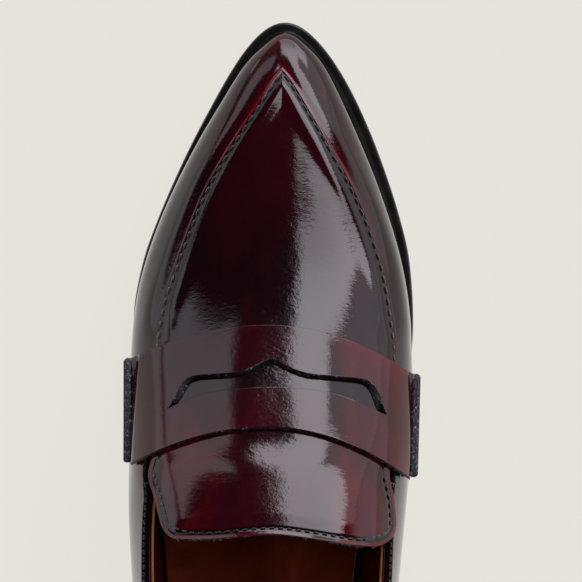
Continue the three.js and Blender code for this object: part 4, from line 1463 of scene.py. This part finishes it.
def build_outsole():
    loop = sole_loop(260)
    outsole = stacked(
        "outsole_leather",
        [(6, 0), *rounded_levels(OUTSOLE, 1.0), (6, OUTSOLE)],
        lambda inset: drawn_in(loop, inset),
        lambda y, height: sole_under(y) + height,
        SOLE_BLACK,
    )
    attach(outsole, "shoe")
    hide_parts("outsole")


def build_welt():
    """The rand round the sole's edge, with a fine groove along its top."""
    loop = sole_loop(260)
    groove = [(1.9, WELT), (2.2, WELT - 0.22), (2.5, WELT)]
    welt = stacked(
        "welt_leather",
        [(9, 0), *rounded_levels(WELT, 0.6), *groove, (9, WELT)],
        lambda inset: drawn_in(loop, inset + 0.15),
        lambda y, height: welt_under(y) + GAP + height,
        SOLE_BLACK,
        caps=False,
    )
    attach(welt, "shoe")
    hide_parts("welt")


HEEL_TAPER = 2.2
HEEL_LIFTS = 3


def heel_ring(inset):
    return heel_loop(240, inset + 1)


def build_heel():
    """A stacked heel, its lifts parted by fine lines."""
    profile = [(HEEL_TAPER + 4, 0.0), (HEEL_TAPER + 0.4, 0.0), (HEEL_TAPER, 0.03)]
    for n in range(1, HEEL_LIFTS):
        share = n / HEEL_LIFTS
        inset = HEEL_TAPER * (1 - share)
        profile += [(inset, share - 0.014), (inset + 0.16, share), (inset, share + 0.014)]
    profile += [(0.0, 0.97), (0.3, 1.0), (4, 1.0)]

    def level(y, share):
        return mix(TOP_PIECE_Z + GAP, sole_under(y) - GAP, share)

    heel = stacked("heel_stack", profile, heel_ring, level, HEEL_BLACK)
    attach(heel, "shoe")
    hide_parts("heel_block")


def build_top_piece():
    """The heel's rubber top piece, with a groove round its edge."""
    edge = rounded_levels(TOP_PIECE_Z, 0.5, 3)
    half = len(edge) // 2
    grooves = [(0, 2.3), (0.3, 2.5), (0, 2.7)]
    profile = [(3, 0.0), *edge[:half], *grooves, *edge[half:], (3, TOP_PIECE_Z)]
    profile = [(inset + HEEL_TAPER, height) for inset, height in profile]
    rubber = stacked("heel_top_piece_rubber", profile, heel_ring, np.full_like, TREAD_RUBBER)
    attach(rubber, "shoe")
    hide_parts("heel_top_piece")


# ---------------------------------------------------------------- insole and heel pad
def inside_half(y, side, margin):
    """The x of the insole's edge, inside the linings."""
    return form_point(turn_at(y), side, -1.0)[..., 0] - side * margin


def floor_grid(rows, columns, front_y, rear_y, margin, height):
    """Points over the insole between two places along it, a margin inside the linings."""
    middle = (front_y + rear_y) / 2
    half = (front_y - rear_y) / 2
    y = middle + half * np.cos(np.linspace(0, math.pi, rows))
    left = inside_half(y, -1.0, margin - 0.6)
    right = inside_half(y, 1.0, margin + 0.3)
    centre = (left + right) / 2
    left = np.minimum(left, centre - 0.2)
    right = np.maximum(right, centre + 0.2)
    x = mix(left[:, None], right[:, None], spread(columns, 0.4)[None, :])
    yy = y[:, None] * np.ones(columns)
    return np.stack([x, yy, height(x, yy)], axis=-1)


def build_sock():
    toe = FORM_TOE_Y - 5.2
    heel = FORM_HEEL_Y + 6.2

    def height(x, y):
        rim = np.abs(x - centre_x(y)) / 30
        return sock_top(y) + 0.1 * rim**2

    grid = floor_grid(120, 50, toe, heel, 4.8, height)
    sock = shell("sock_leather", grid, 0.9, [LINING_BROWN, LINING_EDGE], 0.2, outward=False)
    turn_outward(sock.data)
    tint(sock, -0.05)
    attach(sock, "shoe")
    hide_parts("sock_lining")


def build_heel_pad():
    """A thin foam pad under leather, crowned in the middle and pinched at its sewn edge."""
    front = HEEL_BREAST_Y
    rear = FORM_HEEL_Y + 9
    margin = 8.2

    def height(x, y):
        left = inside_half(y, -1.0, margin)
        right = inside_half(y, 1.0, margin)
        across = np.minimum(x - left, right - x)
        along = np.minimum(front - y, y - rear)
        d = np.maximum(np.minimum(across, along), 0)
        crown = 1.7 * (1 - np.exp(-d / 5.5)) - 0.25 * hump(d - 2.2, 0.7)
        return sock_top(y) + GAP + 0.7 + crown

    grid = floor_grid(70, 50, front, rear, margin, height)
    pad = shell("heel_pad_leather", grid, 0.6, [LINING_BROWN, LINING_EDGE], 0.15, outward=False)
    turn_outward(pad.data)
    tint(pad, 0.03)
    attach(pad, "shoe")
    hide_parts("heel_pad")


def finish_hidden_nodes():
    """Gives the frame's pieces that stay inside the shoe their own materials."""
    looks = {
        "bottom_filler": CORK,
        "shank": STEEL,
        "insole_board": BOARD_STOCK,
        "toe_puff": FELT_STOCK,
        "heel_counter": FELT_STOCK,
    }
    for number in range(1, 6):
        looks[f"heel_nail_{number}"] = STEEL
    for node, look in looks.items():
        obj = bpy.data.objects[node]
        obj.data.materials.clear()
        obj.data.materials.append(look)


# ---------------------------------------------------------------- camera, floor and light
VIEW_X = 6.2
VIEW_Y = 56.3
CAMERA_HEIGHT = 6000
FOCUS_HEIGHT = 45
FRAME_WIDTH = 180.4
SENSOR = 36
FLOOR_HALF = 8.0
FILL_SIZE = 2.4
OVERHEAD_LEVEL = 0.03


def build_camera():
    data = bpy.data.cameras.new("camera")
    data.sensor_width = SENSOR
    data.lens = SENSOR * (CAMERA_HEIGHT - FOCUS_HEIGHT) / FRAME_WIDTH
    data.clip_start = 0.1
    data.clip_end = 50
    camera = bpy.data.objects.new("camera", data)
    camera.location = (VIEW_X * MM, VIEW_Y * MM, CAMERA_HEIGHT * MM)
    bpy.context.scene.collection.objects.link(camera)
    bpy.context.scene.camera = camera


def build_floor():
    mesh = bpy.data.meshes.new("studio_floor")
    corners = [(x * FLOOR_HALF, y * FLOOR_HALF, 0) for x, y in ((-1, -1), (1, -1), (1, 1), (-1, 1))]
    mesh.from_pydata(corners, [], [(0, 1, 2, 3)])
    floor = link(mesh, "studio_floor")
    material = bpy.data.materials.new("studio_floor")
    material.use_nodes = True
    shader = material.node_tree.nodes["Principled BSDF"]
    shader.inputs["Base Color"].default_value = (0.05, 0.05, 0.048, 1)
    shader.inputs["Roughness"].default_value = 0.9
    shader.inputs["Specular IOR Level"].default_value = 0.0
    shader.inputs["Emission Color"].default_value = (0.745, 0.725, 0.68, 1)
    shader.inputs["Emission Strength"].default_value = 1.0
    mesh.materials.append(material)


class Sky(Nodes):
    """The world's nodes, with short calls for windows over the angles of a direction."""

    def __init__(self):
        world = bpy.data.worlds.new("studio")
        bpy.context.scene.world = world
        world.use_nodes = True
        super().__init__(world.node_tree)
        direction = self.node("ShaderNodeTexCoord").outputs["Generated"]
        x, y, z = self.node("ShaderNodeSeparateXYZ", Vector=direction).outputs
        half_turn = 180 / math.pi
        self.azimuth = self.math("MULTIPLY", self.math("ARCTAN2", x, y), half_turn)
        self.from_zenith = self.math("MULTIPLY", self.math("ARCCOSINE", z), half_turn)

    def rise(self, value, start, end, low=0.0, high=1.0):
        """Goes smoothly from low to high while an angle goes from start to end."""
        ends = {"From_Min": start, "From_Max": end, "To_Min": low, "To_Max": high}
        made = self.node("ShaderNodeMapRange", Value=value, **ends)
        made.interpolation_type = "SMOOTHSTEP"
        return made.outputs["Result"]

    def window(self, value, start, end, soft):
        up = self.rise(value, start - soft, start + soft)
        down = self.rise(value, end - soft, end + soft, 1.0, 0.0)
        return self.product(up, down)


def build_world():
    """A studio: dark overhead, pale walls, a dark gap in front of the toe and a soft panel beside it."""
    sky = Sky()
    around = sky.azimuth
    down = sky.from_zenith
    above_edge = sky.rise(sky.scaled(around, 0.25, down), 45.5, 49)
    below_edge = sky.rise(sky.scaled(around, 0.42, down), 57, 60, 1.0, 0.1)
    near_left = sky.product(sky.window(around, -53, -8.5, 1.5), above_edge, below_edge)
    far_left = sky.product(sky.rise(around, -56.5, -53, 1.0, 0.0), sky.rise(down, 64, 74))
    left_wall = sky.math("MAXIMUM", near_left, far_left)
    right_wall = sky.product(sky.rise(around, 50, 58), sky.rise(down, 50, 66))
    low_wall = sky.product(sky.window(around, 17, 54, 2), sky.rise(down, 54.5, 57))
    slanted_edge = sky.rise(sky.scaled(down, 0.33, around), 19.3, 20.6)
    tall = sky.product(slanted_edge, sky.rise(around, 16, 17.5, 1.0, 0.0), sky.window(down, 27, 98, 1.5))
    broad = sky.product(sky.window(around, 15.5, 50, 1.5), sky.window(down, 28, 54.5, 1.2))
    by_toe = sky.product(sky.window(around, 14, 33, 1.5), sky.window(down, 66, 98, 2))
    panel_level = sky.product(sky.rise(down, 28, 50, 3.7, 5.6), sky.rise(down, 60, 80, 1.0, 0.45))
    panel = sky.math("MAXIMUM", sky.math("MAXIMUM", tall, broad), by_toe)
    panel = sky.product(panel, panel_level)
    spark = sky.product(sky.window(around, -44, -36, 1), sky.window(down, 86, 112, 2))
    level = OVERHEAD_LEVEL
    parts = ((left_wall, 1.25), (right_wall, 1.25), (low_wall, 1.4), (panel, 1.0), (spark, 2.5))
    for part, strength in parts:
        level = sky.scaled(part, strength, level)
    background = sky.tree.nodes["Background"]
    sky.feed(background.inputs["Strength"], level)
    background.inputs["Color"].default_value = (0.97, 0.93, 1.0, 1)


def build_fill():
    """Broad light from overhead for the matt surfaces, kept out of the polish."""
    data = bpy.data.lights.new("overhead_fill", "AREA")
    data.shape = "RECTANGLE"
    data.size = FILL_SIZE
    data.size_y = FILL_SIZE
    data.energy = 34
    light = bpy.data.objects.new("overhead_fill", data)
    light.location = (0.3, 0.6, 2.6)
    light.rotation_euler = (-light.location).to_track_quat("-Z", "Y").to_euler()
    light.visible_glossy = False
    bpy.context.scene.collection.objects.link(light)


build_camera()
build_floor()
build_world()
build_fill()
build_outsole()
build_welt()
build_heel()
build_top_piece()
build_sock()
build_heel_pad()
build_vamp_lining()
for wall_side, wall_word in ((-1, "lateral"), (1, "medial")):
    build_quarter_lining(wall_side, wall_word)
    build_quarter(wall_side, wall_word)
    build_side_tab(wall_side, wall_word)
    build_side_seam(wall_side, wall_word)
build_vamp()
build_plug()
build_plug_stitches()
build_tongue()
build_strap()
build_topline()
build_back_strip()
finish_hidden_nodes()
bpy.context.scene.view_settings.view_transform = "Standard"
